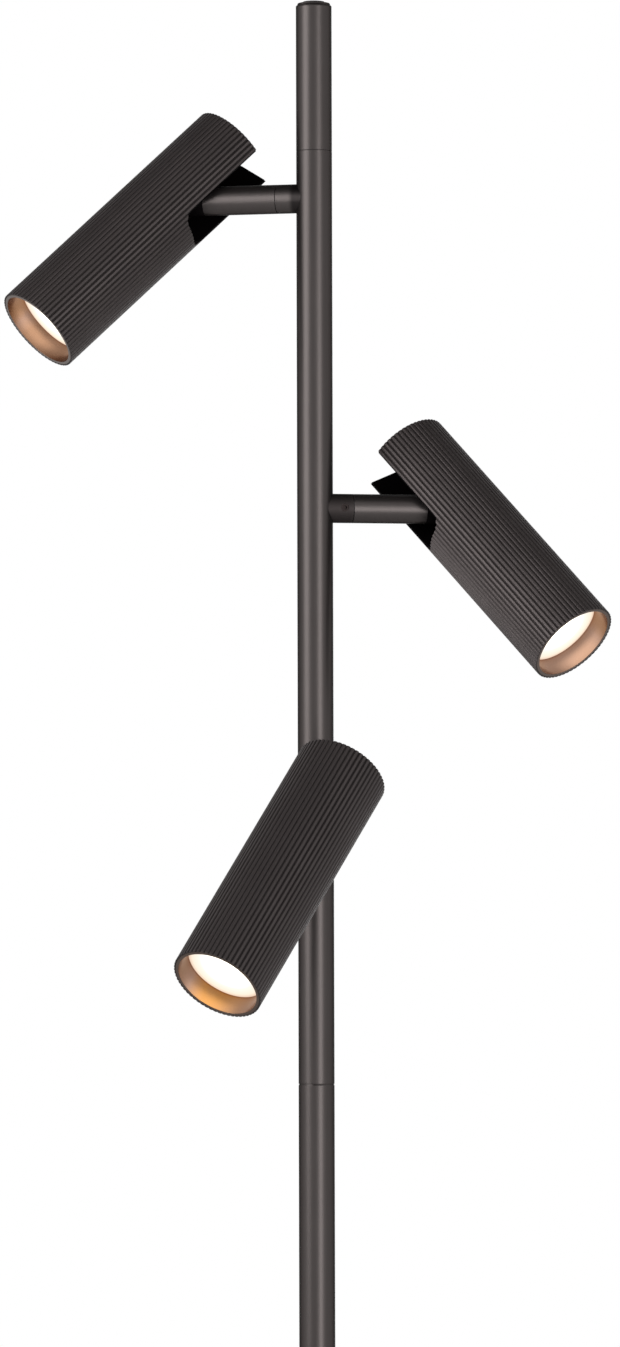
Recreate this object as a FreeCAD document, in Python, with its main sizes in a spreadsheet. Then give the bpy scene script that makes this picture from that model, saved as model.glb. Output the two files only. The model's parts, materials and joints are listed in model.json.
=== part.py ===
import FreeCAD, Part
import math
import operator
import os

import Sketcher
from FreeCAD import Placement, Rotation, Vector

# A reading floor lamp: a slim round pole on a heavy round foot carries three short arms.
# Each arm swivels in a collar on the pole and ends in a knuckle, on which a ribbed
# cylinder spotlight tilts. The origin is on the floor on the pole's axis, and +Z is up.
# Arm 1 points to -X and arm 2 to +X, both a little back, and arm 3 points to -Y. They stand
# as in the photograph.

# Sizes in millimetres, angles in degrees
SIZES = (
    # Pole
    ("total_height", 1500.0, "floor to the top of the pole"),
    ("pole_diameter", 22.0, "outside of every pole tube"),
    ("pole_wall", 1.2, "wall of the pole tubes"),
    ("top_seam_drop", 92.5, "top of the pole down to the upper seam"),
    ("upper_seam_drop", 665.1, "top of the pole down to the seam under the lamps"),
    ("lower_seam_height", 430.0, "floor to the lowest seam"),
    ("seam_gap", 0.6, "rim of a coupler that shows between two tubes"),
    ("seam_recess", 0.4, "depth of that rim below the tubes"),
    ("coupler_length", 40.0, "whole length of a tube coupler"),
    ("coupler_wall", 2.0, "wall of a tube coupler"),
    ("tube_fit", 0.05, "radial clearance of a plug in a tube"),
    ("cap_thickness", 1.6, "disc that closes the pole"),
    ("cap_edge", 0.5, "chamfer round the cap"),
    ("cap_plug_length", 9.0, "plug of the cap inside the top tube"),
    ("cap_plug_wall", 1.5, "wall of that plug"),
    # Foot
    ("base_diameter", 260.0, "outside of the foot cover"),
    ("base_height", 16.0, "floor to the top face of the foot"),
    ("base_edge_radius", 5.0, "rounding of the foot cover's edge"),
    ("cover_wall", 1.2, "sheet of the foot cover"),
    ("cover_lift", 1.0, "floor to the foot cover's rim"),
    ("pad_thickness", 2.0, "soft pad under the foot"),
    ("pad_inset", 6.0, "edge of the foot to the edge of the pad"),
    ("weight_inset", 1.5, "inside of the cover's wall to the weight"),
    ("lead_channel_width", 9.0, "channel for the lead under the weight"),
    ("lead_channel_height", 7.0, "height of that channel"),
    ("flange_diameter", 38.0, "collar round the foot of the pole"),
    ("flange_height", 14.0, "height of that collar"),
    ("flange_floor", 3.0, "floor of that collar"),
    ("flange_edge", 1.0, "chamfer round that collar"),
    ("plug_length", 16.0, "plug in the lowest tube"),
    ("rod_diameter", 10.0, "threaded tube that ties the foot to the pole"),
    ("rod_bore", 7.4, "bore of that tube"),
    ("rod_fit", 0.1, "radial clearance round that tube"),
    ("rod_end", 1.5, "thread that stands past a nut"),
    ("tie_nut_width", 17.0, "across the flats of the nut under the foot"),
    ("tie_nut_height", 5.0, "height of that nut"),
    ("tie_washer_diameter", 26.0, "washer above that nut"),
    ("tie_washer_thickness", 1.5, "thickness of that washer"),
    ("nut_recess_margin", 2.0, "recess round the washer in the weight"),
    ("grommet_diameter", 10.0, "body of the lead inlet in the foot cover"),
    ("grommet_flange", 13.0, "outer flange of the lead inlet"),
    ("grommet_flange_thickness", 1.5, "thickness of that flange"),
    ("grommet_bore", 6.2, "bore of the lead inlet"),
    ("grommet_length", 6.0, "inlet behind the cover's outer face"),
    ("grommet_fit", 0.05, "radial clearance of the inlet in the cover"),
    # Arms
    ("arm_1_drop", 121.5, "top of the pole down to arm 1"),
    ("arm_2_drop", 312.4, "top of the pole down to arm 2"),
    ("arm_3_drop", 515.4, "top of the pole down to arm 3"),
    ("arm_1_bearing", 171.2, "degrees from +X round to arm 1, seen from above"),
    ("arm_2_bearing", 15.2, "degrees from +X round to arm 2, seen from above"),
    ("arm_3_bearing", -90.0, "degrees from +X round to arm 3, seen from above"),
    ("arm_1_swivel", 34.2, "degrees that arm 1 is turned from hanging"),
    ("arm_2_swivel", -38.0, "degrees that arm 2 is turned from hanging"),
    ("arm_3_swivel", -27.6, "degrees that arm 3 is turned from hanging"),
    ("head_1_tilt", 53.8, "degrees between arm 1 and its spotlight"),
    ("head_2_tilt", 61.4, "degrees between arm 2 and its spotlight"),
    ("head_3_tilt", 55.9, "degrees between arm 3 and its spotlight"),
    ("arm_reach", 87.9, "pole axis to the tilt hinge"),
    ("arm_diameter", 17.9, "outside of the arm and of its collar"),
    ("arm_wall", 1.2, "wall of the arm's tube"),
    ("knuckle_length", 19.0, "outer end of the arm's tube to the tilt hinge"),
    ("collar_end", 22.8, "pole axis to the outer end of the collar"),
    ("collar_web", 3.0, "web of the collar on the pole"),
    ("collar_edge", 0.3, "chamfer on the collar's outer edge"),
    ("swivel_bore", 14.0, "bore of the collar"),
    ("swivel_fit", 0.05, "radial clearance of the spigot in the collar"),
    ("swivel_gap", 0.3, "gap between collar and arm, and under the spigot"),
    ("spigot_bore", 8.0, "lead hole in the spigot"),
    ("spigot_seat", 12.0, "length of the spigot inside the arm"),
    ("nipple_diameter", 9.8, "threaded tube that holds the collar"),
    ("nipple_bore", 7.0, "bore of that tube"),
    ("nipple_fit", 0.1, "radial clearance round that tube"),
    ("nipple_nut_width", 13.0, "across the flats of its nut"),
    ("nipple_nut_height", 2.6, "height of its nut"),
    ("nipple_end", 0.6, "thread that stands past that nut"),
    ("grub_place", 17.0, "pole axis to the grub screw"),
    ("grub_diameter", 4.9, "grub screw"),
    ("grub_fit", 0.05, "radial clearance of the grub screw"),
    ("grub_sink", 0.5, "grub screw below the collar's surface"),
    ("grub_socket", 2.5, "across the flats of its socket"),
    ("grub_socket_depth", 1.4, "depth of that socket"),
    ("grub_tip_diameter", 3.0, "dog point of the grub screw"),
    ("stop_groove_depth", 1.6, "groove round the spigot for the dog point"),
    ("stop_gap", 0.3, "clearance of the dog point in that groove"),
    ("stop_web_angle", 16.0, "degrees of the groove left standing as a stop"),
    ("knuckle_seat", 10.0, "length of the knuckle inside the arm"),
    ("knuckle_shoulder", 3.0, "round part of the knuckle past the arm"),
    ("knuckle_width", 14.0, "flats of the knuckle"),
    ("knuckle_bore", 6.0, "lead hole in the knuckle"),
    ("hinge_diameter", 5.0, "shank of a hinge screw"),
    ("hinge_fit", 0.05, "radial clearance of the hinge screws"),
    ("hinge_screw_reach", 3.4, "hinge screw inside the flats of the knuckle"),
    ("hinge_head_diameter", 9.0, "head of a hinge screw"),
    ("hinge_head_height", 2.6, "height of that head"),
    ("hinge_head_fit", 0.3, "radial clearance round that head"),
    ("hinge_socket", 3.0, "across the flats of its socket"),
    ("hinge_socket_depth", 1.5, "depth of that socket"),
    ("washer_diameter", 14.6, "friction washer"),
    ("washer_thickness", 0.8, "thickness of a friction washer"),
    ("washer_gap", 0.1, "running gap beside a friction washer"),
    # Spotlights
    ("shell_diameter", 57.0, "outside of the shell over its ribs"),
    ("shell_length", 176.0, "rear rim to front rim"),
    ("shell_wall", 2.2, "wall of the shell under a rib"),
    ("pivot_gap", 13.5, "tilt hinge to the end of the slot"),
    ("rib_count", 60, "ribs round the shell"),
    ("rib_depth", 0.8, "depth of the grooves between the ribs"),
    ("rib_groove_width", 1.9, "width of such a groove at the surface"),
    ("slot_width", 30.0, "slot in the rear of the shell"),
    ("front_length", 110.0, "end of the slot to the front rim"),
    ("slot_corner", 8.0, "rounding of the slot's end"),
    ("housing_fit", 0.1, "clearance of the rear housing in shell and slot"),
    ("housing_recess", 0.4, "rear housing below the rear rim"),
    ("housing_front", 4.0, "end of the slot to the front of the housing"),
    ("channel_wall", 1.4, "cheek of the channel in the housing"),
    ("channel_floor", 11.5, "shell axis to the floor of the channel"),
    ("cheek_sink", 0.3, "cheeks of the channel below the shell's surface"),
    ("boss_diameter", 15.0, "hinge boss inside the channel"),
    ("stem_diameter", 10.0, "threaded tube that carries the lamp holder"),
    ("stem_bore", 7.4, "bore of that tube"),
    ("holder_diameter", 26.0, "lamp holder"),
    ("holder_length", 22.0, "length of the lamp holder"),
    ("holder_edge", 1.5, "chamfer of the lamp holder"),
    ("holder_depth", 6.0, "stem inside the lamp holder"),
    ("lens_recess", 12.7, "front rim back to the face of the lamp"),
    ("lamp_diameter", 50.0, "reflector lamp"),
    ("lamp_length", 47.0, "lamp without its pins"),
    ("lamp_neck_diameter", 23.0, "neck of the lamp"),
    ("lamp_neck_length", 10.0, "length of that neck"),
    ("lamp_band", 5.0, "straight band round the lamp's mouth"),
    ("lamp_wall", 1.6, "wall of the lamp's reflector"),
    ("lens_thickness", 2.0, "front disc of the lamp"),
    ("lamp_pin_diameter", 3.0, "pin of the lamp"),
    ("lamp_pin_head", 5.0, "head of that pin"),
    ("lamp_pin_length", 6.5, "length of that pin"),
    ("lamp_pin_head_length", 2.0, "length of its head"),
    ("lamp_pin_spacing", 10.0, "between the two pins"),
    ("pin_fit", 0.2, "radial clearance of a pin in the holder"),
    ("trim_sink", 0.4, "trim ring below the front rim"),
    ("trim_fit", 0.1, "radial clearance of the trim ring in the shell"),
    ("trim_wall", 0.6, "front edge of the trim ring"),
    ("trim_lap", 4.0, "trim ring beside the lamp's band"),
    ("lamp_fit", 0.15, "radial clearance of the lamp in the trim ring"),
    # Overrun of every cut
    ("overrun", 2.0, "length by which a cut runs past a face"),
)

ARM_NUMBERS = ("1", "2", "3")
DOWN = Vector(0, 0, -1)
FULL_TURN = 360
RIGHT_ANGLE = 90

document = FreeCAD.newDocument("reading_floor_lamp")


# A size: its number, and the expression that gives it from the sheet
class Size:
    def __init__(self, value, text):
        self.value = value
        self.text = text

    def __add__(self, other):
        return combine(self, "+", other)

    def __radd__(self, other):
        return combine(other, "+", self)

    def __sub__(self, other):
        return combine(self, "-", other)

    def __rsub__(self, other):
        return combine(other, "-", self)

    def __mul__(self, other):
        return combine(self, "*", other)

    def __rmul__(self, other):
        return combine(other, "*", self)

    def __truediv__(self, other):
        return combine(self, "/", other)

    def __neg__(self):
        return combine(0, "-", self)


OPERATORS = {
    "+": operator.add,
    "-": operator.sub,
    "*": operator.mul,
    "/": operator.truediv,
}


def as_size(item):
    if isinstance(item, Size):
        return item
    return Size(item, str(item))


def combine(first, sign, second):
    left = as_size(first)
    right = as_size(second)
    number = OPERATORS[sign](left.value, right.value)
    return Size(number, "({} {} {})".format(left.text, sign, right.text))


def square_root(size):
    return Size(math.sqrt(size.value), "sqrt({})".format(size.text))


# The sheet of sizes
def write_sheet():
    sheet = document.addObject("Spreadsheet::Sheet", "Sizes")
    table = {}
    for row, (name, number, note) in enumerate(SIZES, start=1):
        sheet.set("A{}".format(row), note)
        sheet.set("B{}".format(row), str(number))
        sheet.setAlias("B{}".format(row), name)
        table[name] = Size(number, "Sizes." + name)
    document.recompute()
    return table


class SizeTable:
    def __init__(self, table):
        self.__dict__.update(table)
        self.by_name = table


size = SizeTable(write_sheet())


def bind(thing, path, amount):
    thing.setExpression(path, as_size(amount).text)


# The level direction in which an arm leaves the pole
def arm_direction(number):
    bearing = math.radians(size.by_name["arm_{}_bearing".format(number)].value)
    return Vector(math.cos(bearing), math.sin(bearing), 0)


# Bodies, sketches and features
def new_body(name):
    body = document.addObject("PartDesign::Body", name)
    body.Label = name
    return body


def origin_plane(body, role):
    for feature in body.Origin.OriginFeatures:
        if feature.Role == role:
            return feature
    raise ValueError("no plane " + role)


def new_sketch(body, name, role="XY_Plane", lift=None):
    sketch = body.newObject("Sketcher::SketchObject", name + "_sketch")
    sketch.AttachmentSupport = [(origin_plane(body, role), "")]
    sketch.MapMode = "FlatFace"
    if lift is not None:
        bind(sketch, "AttachmentOffset.Base.z", lift)
    return sketch


def hold_point(sketch, geometry, point, x, y):
    for kind, axis, amount in (("DistanceX", -2, x), ("DistanceY", -1, y)):
        if isinstance(amount, Size):
            index = sketch.addConstraint(
                Sketcher.Constraint(kind, -1, 1, geometry, point, amount.value))
            bind(sketch, "Constraints[{}]".format(index), amount)
        else:
            sketch.addConstraint(Sketcher.Constraint("PointOnObject", geometry, point, axis))


def number_of(amount):
    return as_size(amount).value


def flat_point(x, y):
    return Vector(number_of(x), number_of(y), 0)


def draw_circle(sketch, diameter, x=0, y=0):
    circle = Part.Circle(flat_point(x, y), Vector(0, 0, 1), diameter.value / 2)
    geometry = sketch.addGeometry(circle, False)
    index = sketch.addConstraint(Sketcher.Constraint("Diameter", geometry, diameter.value))
    bind(sketch, "Constraints[{}]".format(index), diameter)
    if isinstance(x, Size) or isinstance(y, Size):
        hold_point(sketch, geometry, 3, x, y)
    else:
        sketch.addConstraint(Sketcher.Constraint("Coincident", geometry, 3, -1, 1))


def toward(start, finish, amount):
    if number_of(finish) > number_of(start):
        return start + amount
    return start - amount


# A closed outline. A corner (x, y) is sharp, and (x, y, radius) is a rounded right angle
# between an edge along one axis of the sketch and an edge along the other.
def draw_outline(sketch, corners):
    places = []
    for index, corner in enumerate(corners):
        if len(corner) == 2:
            places.append((corner[0], corner[1], None))
            continue
        x, y, radius = corner
        before = corners[index - 1]
        after = corners[(index + 1) % len(corners)]
        if abs(number_of(before[1]) - number_of(y)) < abs(number_of(before[0]) - number_of(x)):
            first = (toward(x, before[0], radius), y)
            last = (x, toward(y, after[1], radius))
            centre = (first[0], last[1])
        else:
            first = (x, toward(y, before[1], radius))
            last = (toward(x, after[0], radius), y)
            centre = (last[0], first[1])
        places.append((first[0], first[1], centre))
        places.append((last[0], last[1], None))
    drawn = []
    for index, (x, y, centre) in enumerate(places):
        following = places[(index + 1) % len(places)]
        start = flat_point(x, y)
        finish = flat_point(following[0], following[1])
        if centre is None:
            geometry = sketch.addGeometry(Part.LineSegment(start, finish), False)
            drawn.append((geometry, 1, 2, None))
            continue
        middle = flat_point(centre[0], centre[1])
        leftward = (start - middle).cross(finish - middle).z > 0
        ends = (start, finish) if leftward else (finish, start)
        angles = [math.atan2(end.y - middle.y, end.x - middle.x) for end in ends]
        if angles[1] < angles[0]:
            angles[1] += 2 * math.pi
        circle = Part.Circle(middle, Vector(0, 0, 1), (start - middle).Length)
        geometry = sketch.addGeometry(Part.ArcOfCircle(circle, angles[0], angles[1]), False)
        drawn.append((geometry, 1, 2, centre) if leftward else (geometry, 2, 1, centre))
    for index, (geometry, first, last, centre) in enumerate(drawn):
        following = drawn[(index + 1) % len(drawn)]
        sketch.addConstraint(
            Sketcher.Constraint("Coincident", geometry, last, following[0], following[1]))
        hold_point(sketch, geometry, first, places[index][0], places[index][1])
        if centre is not None:
            number = sketch.addConstraint(
                Sketcher.Constraint("DistanceX", -1, 1, geometry, 3, number_of(centre[0])))
            bind(sketch, "Constraints[{}]".format(number), centre[0])


def extrude(body, name, sketch, length, cut=False, both_ways=False, reverse=False):
    feature = body.newObject("PartDesign::Pocket" if cut else "PartDesign::Pad", name)
    feature.Profile = sketch
    bind(feature, "Length", length)
    feature.Midplane = both_ways
    feature.Reversed = reverse
    return feature


def turn(body, name, corners, angle=FULL_TURN, cut=False):
    sketch = new_sketch(body, name, "XZ_Plane")
    draw_outline(sketch, corners)
    feature = body.newObject("PartDesign::Groove" if cut else "PartDesign::Revolution", name)
    feature.Profile = sketch
    feature.ReferenceAxis = (sketch, ["V_Axis"])
    bind(feature, "Angle", angle)
    feature.Midplane = True
    return feature


def place(thing, x=0, y=0, z=0, rotation=None):
    thing.Placement = Placement(Vector(0, 0, 0), rotation or Rotation())
    for axis, amount in (("x", x), ("y", y), ("z", z)):
        if isinstance(amount, Size):
            bind(thing, "Placement.Base." + axis, amount)


def round_bar(body, name, diameter, length, x=0, y=0, z=0, rotation=None, cut=False):
    kind = "PartDesign::SubtractiveCylinder" if cut else "PartDesign::AdditiveCylinder"
    bar = body.newObject(kind, name)
    bind(bar, "Radius", diameter / 2)
    bind(bar, "Height", length)
    place(bar, x, y, z, rotation)
    return bar


def drill(body, name, diameter, length, x=0, y=0, z=0, rotation=None):
    return round_bar(body, name, diameter, length, x, y, z, rotation, cut=True)


ALONG_X = Rotation(Vector(0, 1, 0), RIGHT_ANGLE)
ALONG_Y = Rotation(Vector(1, 0, 0), -RIGHT_ANGLE)
ALONG_MINUS_Y = Rotation(Vector(1, 0, 0), RIGHT_ANGLE)


# A ring or tube standing on the plane z
def tube(name, diameter, bore, length):
    body = new_body(name)
    sketch = new_sketch(body, name)
    draw_circle(sketch, diameter)
    draw_circle(sketch, bore)
    extrude(body, name + "_pad", sketch, length)
    return body


# A hexagonal hole, from the plane z = lift downwards
def hexagon_socket(body, name, width, depth, lift):
    sketch = new_sketch(body, name, "XY_Plane", lift)
    flat = width / 2
    corner = width / square_root(as_size(3))
    draw_outline(sketch, (
        (flat, -corner / 2), (flat, corner / 2), (0, corner),
        (-flat, corner / 2), (-flat, -corner / 2), (0, -corner)))
    return extrude(body, name, sketch, depth, cut=True)


# A hexagonal nut with its corners on its local X axis
def hexagon_nut(name, width, bore, height):
    prism = document.addObject("Part::Prism", name + "_prism")
    prism.Polygon = 6
    bind(prism, "Circumradius", width / square_root(as_size(3)))
    bind(prism, "Height", height)
    hole = document.addObject("Part::Cylinder", name + "_hole")
    bind(hole, "Radius", bore / 2)
    bind(hole, "Height", height)
    nut = document.addObject("Part::Cut", name)
    nut.Base = prism
    nut.Tool = hole
    return nut


# Several equal solids under one name
def group(name, members):
    compound = document.addObject("Part::Compound", name)
    compound.Label = name
    compound.Links = members
    return compound


# Places along the pole
pole_top = size.total_height - size.cap_thickness
top_seam = size.total_height - size.top_seam_drop
upper_seam = size.total_height - size.upper_seam_drop
lower_seam = size.lower_seam_height
tube_foot = size.base_height + size.flange_floor
pole_bore = size.pole_diameter - 2 * size.pole_wall
plug_diameter = pole_bore - 2 * size.tube_fit
arm_bore = size.arm_diameter - 2 * size.arm_wall
collar_floor = size.pole_diameter / 2 + size.collar_web
arm_start = size.collar_end + size.swivel_gap
arm_tube_end = size.arm_reach - size.knuckle_length

# Places along a spotlight, from its rear rim
slot_length = size.shell_length - size.front_length
pivot_place = slot_length - size.pivot_gap
housing_end = slot_length + size.housing_front


def arm_height(number):
    return size.total_height - size.by_name["arm_{}_drop".format(number)]


# The frame of an arm while its spotlight hangs: z out along the arm, x down
def hanging_frame(number):
    outward = arm_direction(number)
    turned = Rotation(DOWN, outward.cross(DOWN), outward, "ZXY")
    return Placement(Vector(0, 0, arm_height(number).value), turned)


# The frame of an arm turned about itself as the photograph shows
def arm_frame(number):
    swivel = size.by_name["arm_{}_swivel".format(number)].value
    turned = Placement(Vector(0, 0, 0), Rotation(Vector(0, 0, 1), swivel))
    return hanging_frame(number).multiply(turned)


# The frame of a spotlight: z from its rear rim to its mouth, x towards its slot
def head_frame(number):
    tilt = size.by_name["head_{}_tilt".format(number)].value
    hinge = Vector(0, 0, size.arm_reach.value)
    tilted = Placement(hinge, Rotation(Vector(0, 1, 0), tilt))
    rear = Placement(Vector(0, 0, -pivot_place.value), Rotation())
    return arm_frame(number).multiply(tilted).multiply(rear)


# Foot
def make_foot():
    cover_inside = size.base_height - size.cover_wall
    rod_hole = size.rod_diameter + 2 * size.rod_fit

    pad = new_body("base_pad")
    sketch = new_sketch(pad, "base_pad")
    draw_circle(sketch, size.base_diameter - 2 * size.pad_inset)
    extrude(pad, "base_pad_disc", sketch, size.pad_thickness)

    weight = new_body("base_weight")
    weight_radius = size.base_diameter / 2 - size.cover_wall - size.weight_inset
    recess_radius = size.tie_washer_diameter / 2 + size.nut_recess_margin
    recess_top = size.pad_thickness + size.tie_nut_height + size.rod_end + size.tie_washer_thickness
    turn(weight, "base_weight_disc", (
        (recess_radius, size.pad_thickness),
        (weight_radius, size.pad_thickness),
        (weight_radius, cover_inside - size.base_edge_radius),
        (weight_radius - size.base_edge_radius, cover_inside),
        (rod_hole / 2, cover_inside),
        (rod_hole / 2, recess_top),
        (recess_radius, recess_top)))
    sketch = new_sketch(weight, "base_weight_channel", "XY_Plane", size.pad_thickness)
    half_channel = size.lead_channel_width / 2
    draw_outline(sketch, (
        (-half_channel, 0),
        (half_channel, 0),
        (half_channel, size.base_diameter / 2),
        (-half_channel, size.base_diameter / 2)))
    extrude(weight, "base_weight_channel", sketch, size.lead_channel_height, cut=True, reverse=True)

    cover = new_body("base_cover")
    cover_radius = size.base_diameter / 2
    inner_radius = cover_radius - size.cover_wall
    turn(cover, "base_cover_sheet", (
        (rod_hole / 2, cover_inside),
        (inner_radius, cover_inside, size.base_edge_radius - size.cover_wall),
        (inner_radius, size.cover_lift),
        (cover_radius, size.cover_lift),
        (cover_radius, size.base_height, size.base_edge_radius),
        (rod_hole / 2, size.base_height)))
    inlet_height = size.pad_thickness + size.grommet_diameter / 2 + size.tube_fit
    inlet_hole = size.grommet_diameter + 2 * size.grommet_fit
    drill(cover, "base_cover_inlet", inlet_hole, size.grommet_length + size.overrun,
          0, cover_radius - size.grommet_length, inlet_height, ALONG_Y)

    grommet = new_body("cable_grommet")
    bore_radius = size.grommet_bore / 2
    turn(grommet, "cable_grommet_bush", (
        (bore_radius, 0),
        (size.grommet_diameter / 2, 0),
        (size.grommet_diameter / 2, size.grommet_length),
        (size.grommet_flange / 2, size.grommet_length),
        (size.grommet_flange / 2, size.grommet_length + size.grommet_flange_thickness),
        (bore_radius, size.grommet_length + size.grommet_flange_thickness)))
    place(grommet, 0, cover_radius - size.grommet_length, inlet_height, ALONG_Y)

    # The weight gives way to the inlet
    drill(weight, "base_weight_inlet", size.grommet_diameter + 2 * size.rod_fit,
          2 * size.grommet_length, 0, cover_radius - 2 * size.grommet_length, inlet_height, ALONG_Y)

    flange = new_body("base_flange")
    flange_radius = size.flange_diameter / 2
    flange_top = size.base_height + size.flange_height
    socket_radius = size.pole_diameter / 2 + size.tube_fit
    turn(flange, "base_flange_collar", (
        (rod_hole / 2, size.base_height),
        (flange_radius, size.base_height),
        (flange_radius, flange_top - size.flange_edge),
        (flange_radius - size.flange_edge, flange_top),
        (socket_radius, flange_top),
        (socket_radius, tube_foot),
        (rod_hole / 2, tube_foot)))

    plug = tube("foot_plug", plug_diameter, rod_hole, size.plug_length)
    place(plug, 0, 0, tube_foot)

    nut_foot = size.pad_thickness + size.rod_end
    rod = tube("tie_rod", size.rod_diameter, size.rod_bore,
               tube_foot + size.plug_length + size.rod_end - size.pad_thickness)
    place(rod, 0, 0, size.pad_thickness)

    nut = hexagon_nut("tie_nut", size.tie_nut_width, rod_hole, size.tie_nut_height)
    place(nut, 0, 0, nut_foot)

    washer = tube("tie_washer", size.tie_washer_diameter, rod_hole, size.tie_washer_thickness)
    place(washer, 0, 0, nut_foot + size.tie_nut_height)
    return [pad, weight, cover, grommet, flange, plug, rod, nut, washer]


# Pole
def pole_tube(name, foot, head):
    body = tube(name, size.pole_diameter, pole_bore, head - foot)
    place(body, 0, 0, foot)
    return body


def make_coupler(name, seam):
    body = new_body(name)
    radius = plug_diameter / 2
    rim_radius = size.pole_diameter / 2 - size.seam_recess
    half = size.coupler_length / 2
    half_rim = size.seam_gap / 2
    turn(body, name + "_sleeve", (
        (radius - size.coupler_wall, 0),
        (radius, 0),
        (radius, half - half_rim),
        (rim_radius, half - half_rim),
        (rim_radius, half + half_rim),
        (radius, half + half_rim),
        (radius, size.coupler_length),
        (radius - size.coupler_wall, size.coupler_length)))
    place(body, 0, 0, seam - half)
    return body


def make_pole():
    half_gap = size.seam_gap / 2
    lower = pole_tube("lower_tube", tube_foot, lower_seam - half_gap)
    middle = pole_tube("middle_tube", lower_seam + half_gap, upper_seam - half_gap)
    upper = pole_tube("upper_tube", upper_seam + half_gap, top_seam - half_gap)
    top = pole_tube("top_tube", top_seam + half_gap, pole_top)
    for number in ARM_NUMBERS:
        drill(upper, "upper_tube_hole_" + number, size.nipple_diameter + 2 * size.nipple_fit,
              size.pole_diameter / 2 + size.overrun,
              0, 0, arm_height(number) - upper_seam - half_gap, hanging_frame(number).Rotation)
    couplers = [
        make_coupler("coupler_lower", lower_seam),
        make_coupler("coupler_upper", upper_seam),
        make_coupler("coupler_top", top_seam)]

    cap = new_body("top_cap")
    cap_radius = size.pole_diameter / 2
    plug_radius = plug_diameter / 2
    plug_bore = plug_radius - size.cap_plug_wall
    cap_top = size.cap_plug_length + size.cap_thickness
    turn(cap, "top_cap_disc", (
        (0, size.cap_plug_length),
        (plug_bore, size.cap_plug_length),
        (plug_bore, 0),
        (plug_radius, 0),
        (plug_radius, size.cap_plug_length),
        (cap_radius, size.cap_plug_length),
        (cap_radius, cap_top - size.cap_edge),
        (cap_radius - size.cap_edge, cap_top),
        (0, cap_top)))
    place(cap, 0, 0, pole_top - size.cap_plug_length)
    return [lower, middle, upper, top, cap, group("tube_couplers", couplers)]


# Collars on the pole. Lengths along an arm count from the pole's axis.
def make_collar(number):
    body = new_body("collar_" + number)
    radius = size.arm_diameter / 2
    hole_radius = size.nipple_diameter / 2 + size.nipple_fit / 2
    bore_radius = size.swivel_bore / 2
    inner_end = size.pole_diameter / 4
    turn(body, "collar_ring", (
        (hole_radius, inner_end),
        (radius, inner_end),
        (radius, size.collar_end - size.collar_edge),
        (radius - size.collar_edge, size.collar_end),
        (bore_radius, size.collar_end),
        (bore_radius, collar_floor),
        (hole_radius, collar_floor)))
    drill(body, "collar_saddle", size.pole_diameter + 2 * size.tube_fit,
          size.arm_diameter + 2 * size.overrun,
          -radius - size.overrun, 0, 0, ALONG_X)
    drill(body, "collar_grub_hole", size.grub_diameter + 2 * size.grub_fit,
          radius + size.overrun, 0, 0, size.grub_place, ALONG_MINUS_Y)
    body.Placement = hanging_frame(number)
    return body


def nut_seat():
    half_width = size.nipple_nut_width / 2
    return square_root(pole_bore * pole_bore / 4 - half_width * half_width)


def make_nipple(number):
    nut_face = nut_seat() - size.nipple_nut_height
    inner_end = nut_face - size.nipple_end
    body = tube("nipple_" + number, size.nipple_diameter, size.nipple_bore,
                collar_floor - inner_end)
    along = Placement(Vector(0, 0, inner_end.value), Rotation())
    body.Placement = hanging_frame(number).multiply(along)
    return body


def make_nipple_nut(number):
    nut = hexagon_nut("nipple_nut_" + number, size.nipple_nut_width,
                      size.nipple_diameter + size.nipple_fit, size.nipple_nut_height)
    nut_face = nut_seat() - size.nipple_nut_height
    along = Placement(Vector(0, 0, nut_face.value), Rotation())
    nut.Placement = hanging_frame(number).multiply(along)
    return nut


def make_grub_screw(number):
    body = new_body("grub_screw_" + number)
    groove_floor = size.swivel_bore / 2 - size.swivel_fit - size.stop_groove_depth
    tip = groove_floor + size.stop_gap
    shoulder = size.swivel_bore / 2 + size.stop_gap
    outside = size.arm_diameter / 2 - size.grub_sink
    turn(body, "grub_screw_turned", (
        (0, tip),
        (size.grub_tip_diameter / 2, tip),
        (size.grub_tip_diameter / 2, shoulder),
        (size.grub_diameter / 2, shoulder),
        (size.grub_diameter / 2, outside),
        (0, outside)))
    hexagon_socket(body, "grub_screw_socket", size.grub_socket, size.grub_socket_depth, outside)
    sideways = Placement(Vector(0, 0, size.grub_place.value), ALONG_MINUS_Y)
    body.Placement = hanging_frame(number).multiply(sideways)
    return body


def make_collars():
    collars = [make_collar(number) for number in ARM_NUMBERS]
    nipples = group("arm_nipples", [make_nipple(number) for number in ARM_NUMBERS])
    nuts = group("nipple_nuts", [make_nipple_nut(number) for number in ARM_NUMBERS])
    grubs = group("grub_screws", [make_grub_screw(number) for number in ARM_NUMBERS])
    return collars + [nipples, nuts, grubs]


# Arms
def make_spigot(number):
    body = new_body("arm_spigot_" + number)
    spigot_radius = size.swivel_bore / 2 - size.swivel_fit
    seat_radius = arm_bore / 2 - size.tube_fit
    inner_end = collar_floor + size.swivel_gap
    turn(body, "arm_spigot_turned", (
        (size.spigot_bore / 2, inner_end),
        (spigot_radius, inner_end),
        (spigot_radius, arm_start),
        (seat_radius, arm_start),
        (seat_radius, arm_start + size.spigot_seat),
        (size.spigot_bore / 2, arm_start + size.spigot_seat)))
    groove_floor = spigot_radius - size.stop_groove_depth
    half_groove = size.grub_tip_diameter / 2 + size.stop_gap
    turn(body, "arm_spigot_groove", (
        (groove_floor, size.grub_place - half_groove),
        (spigot_radius + size.stop_gap, size.grub_place - half_groove),
        (spigot_radius + size.stop_gap, size.grub_place + half_groove),
        (groove_floor, size.grub_place + half_groove)),
        FULL_TURN - size.stop_web_angle, cut=True)
    facing = Placement(Vector(0, 0, 0), Rotation(Vector(0, 0, 1), -RIGHT_ANGLE))
    body.Placement = arm_frame(number).multiply(facing)
    return body


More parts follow.
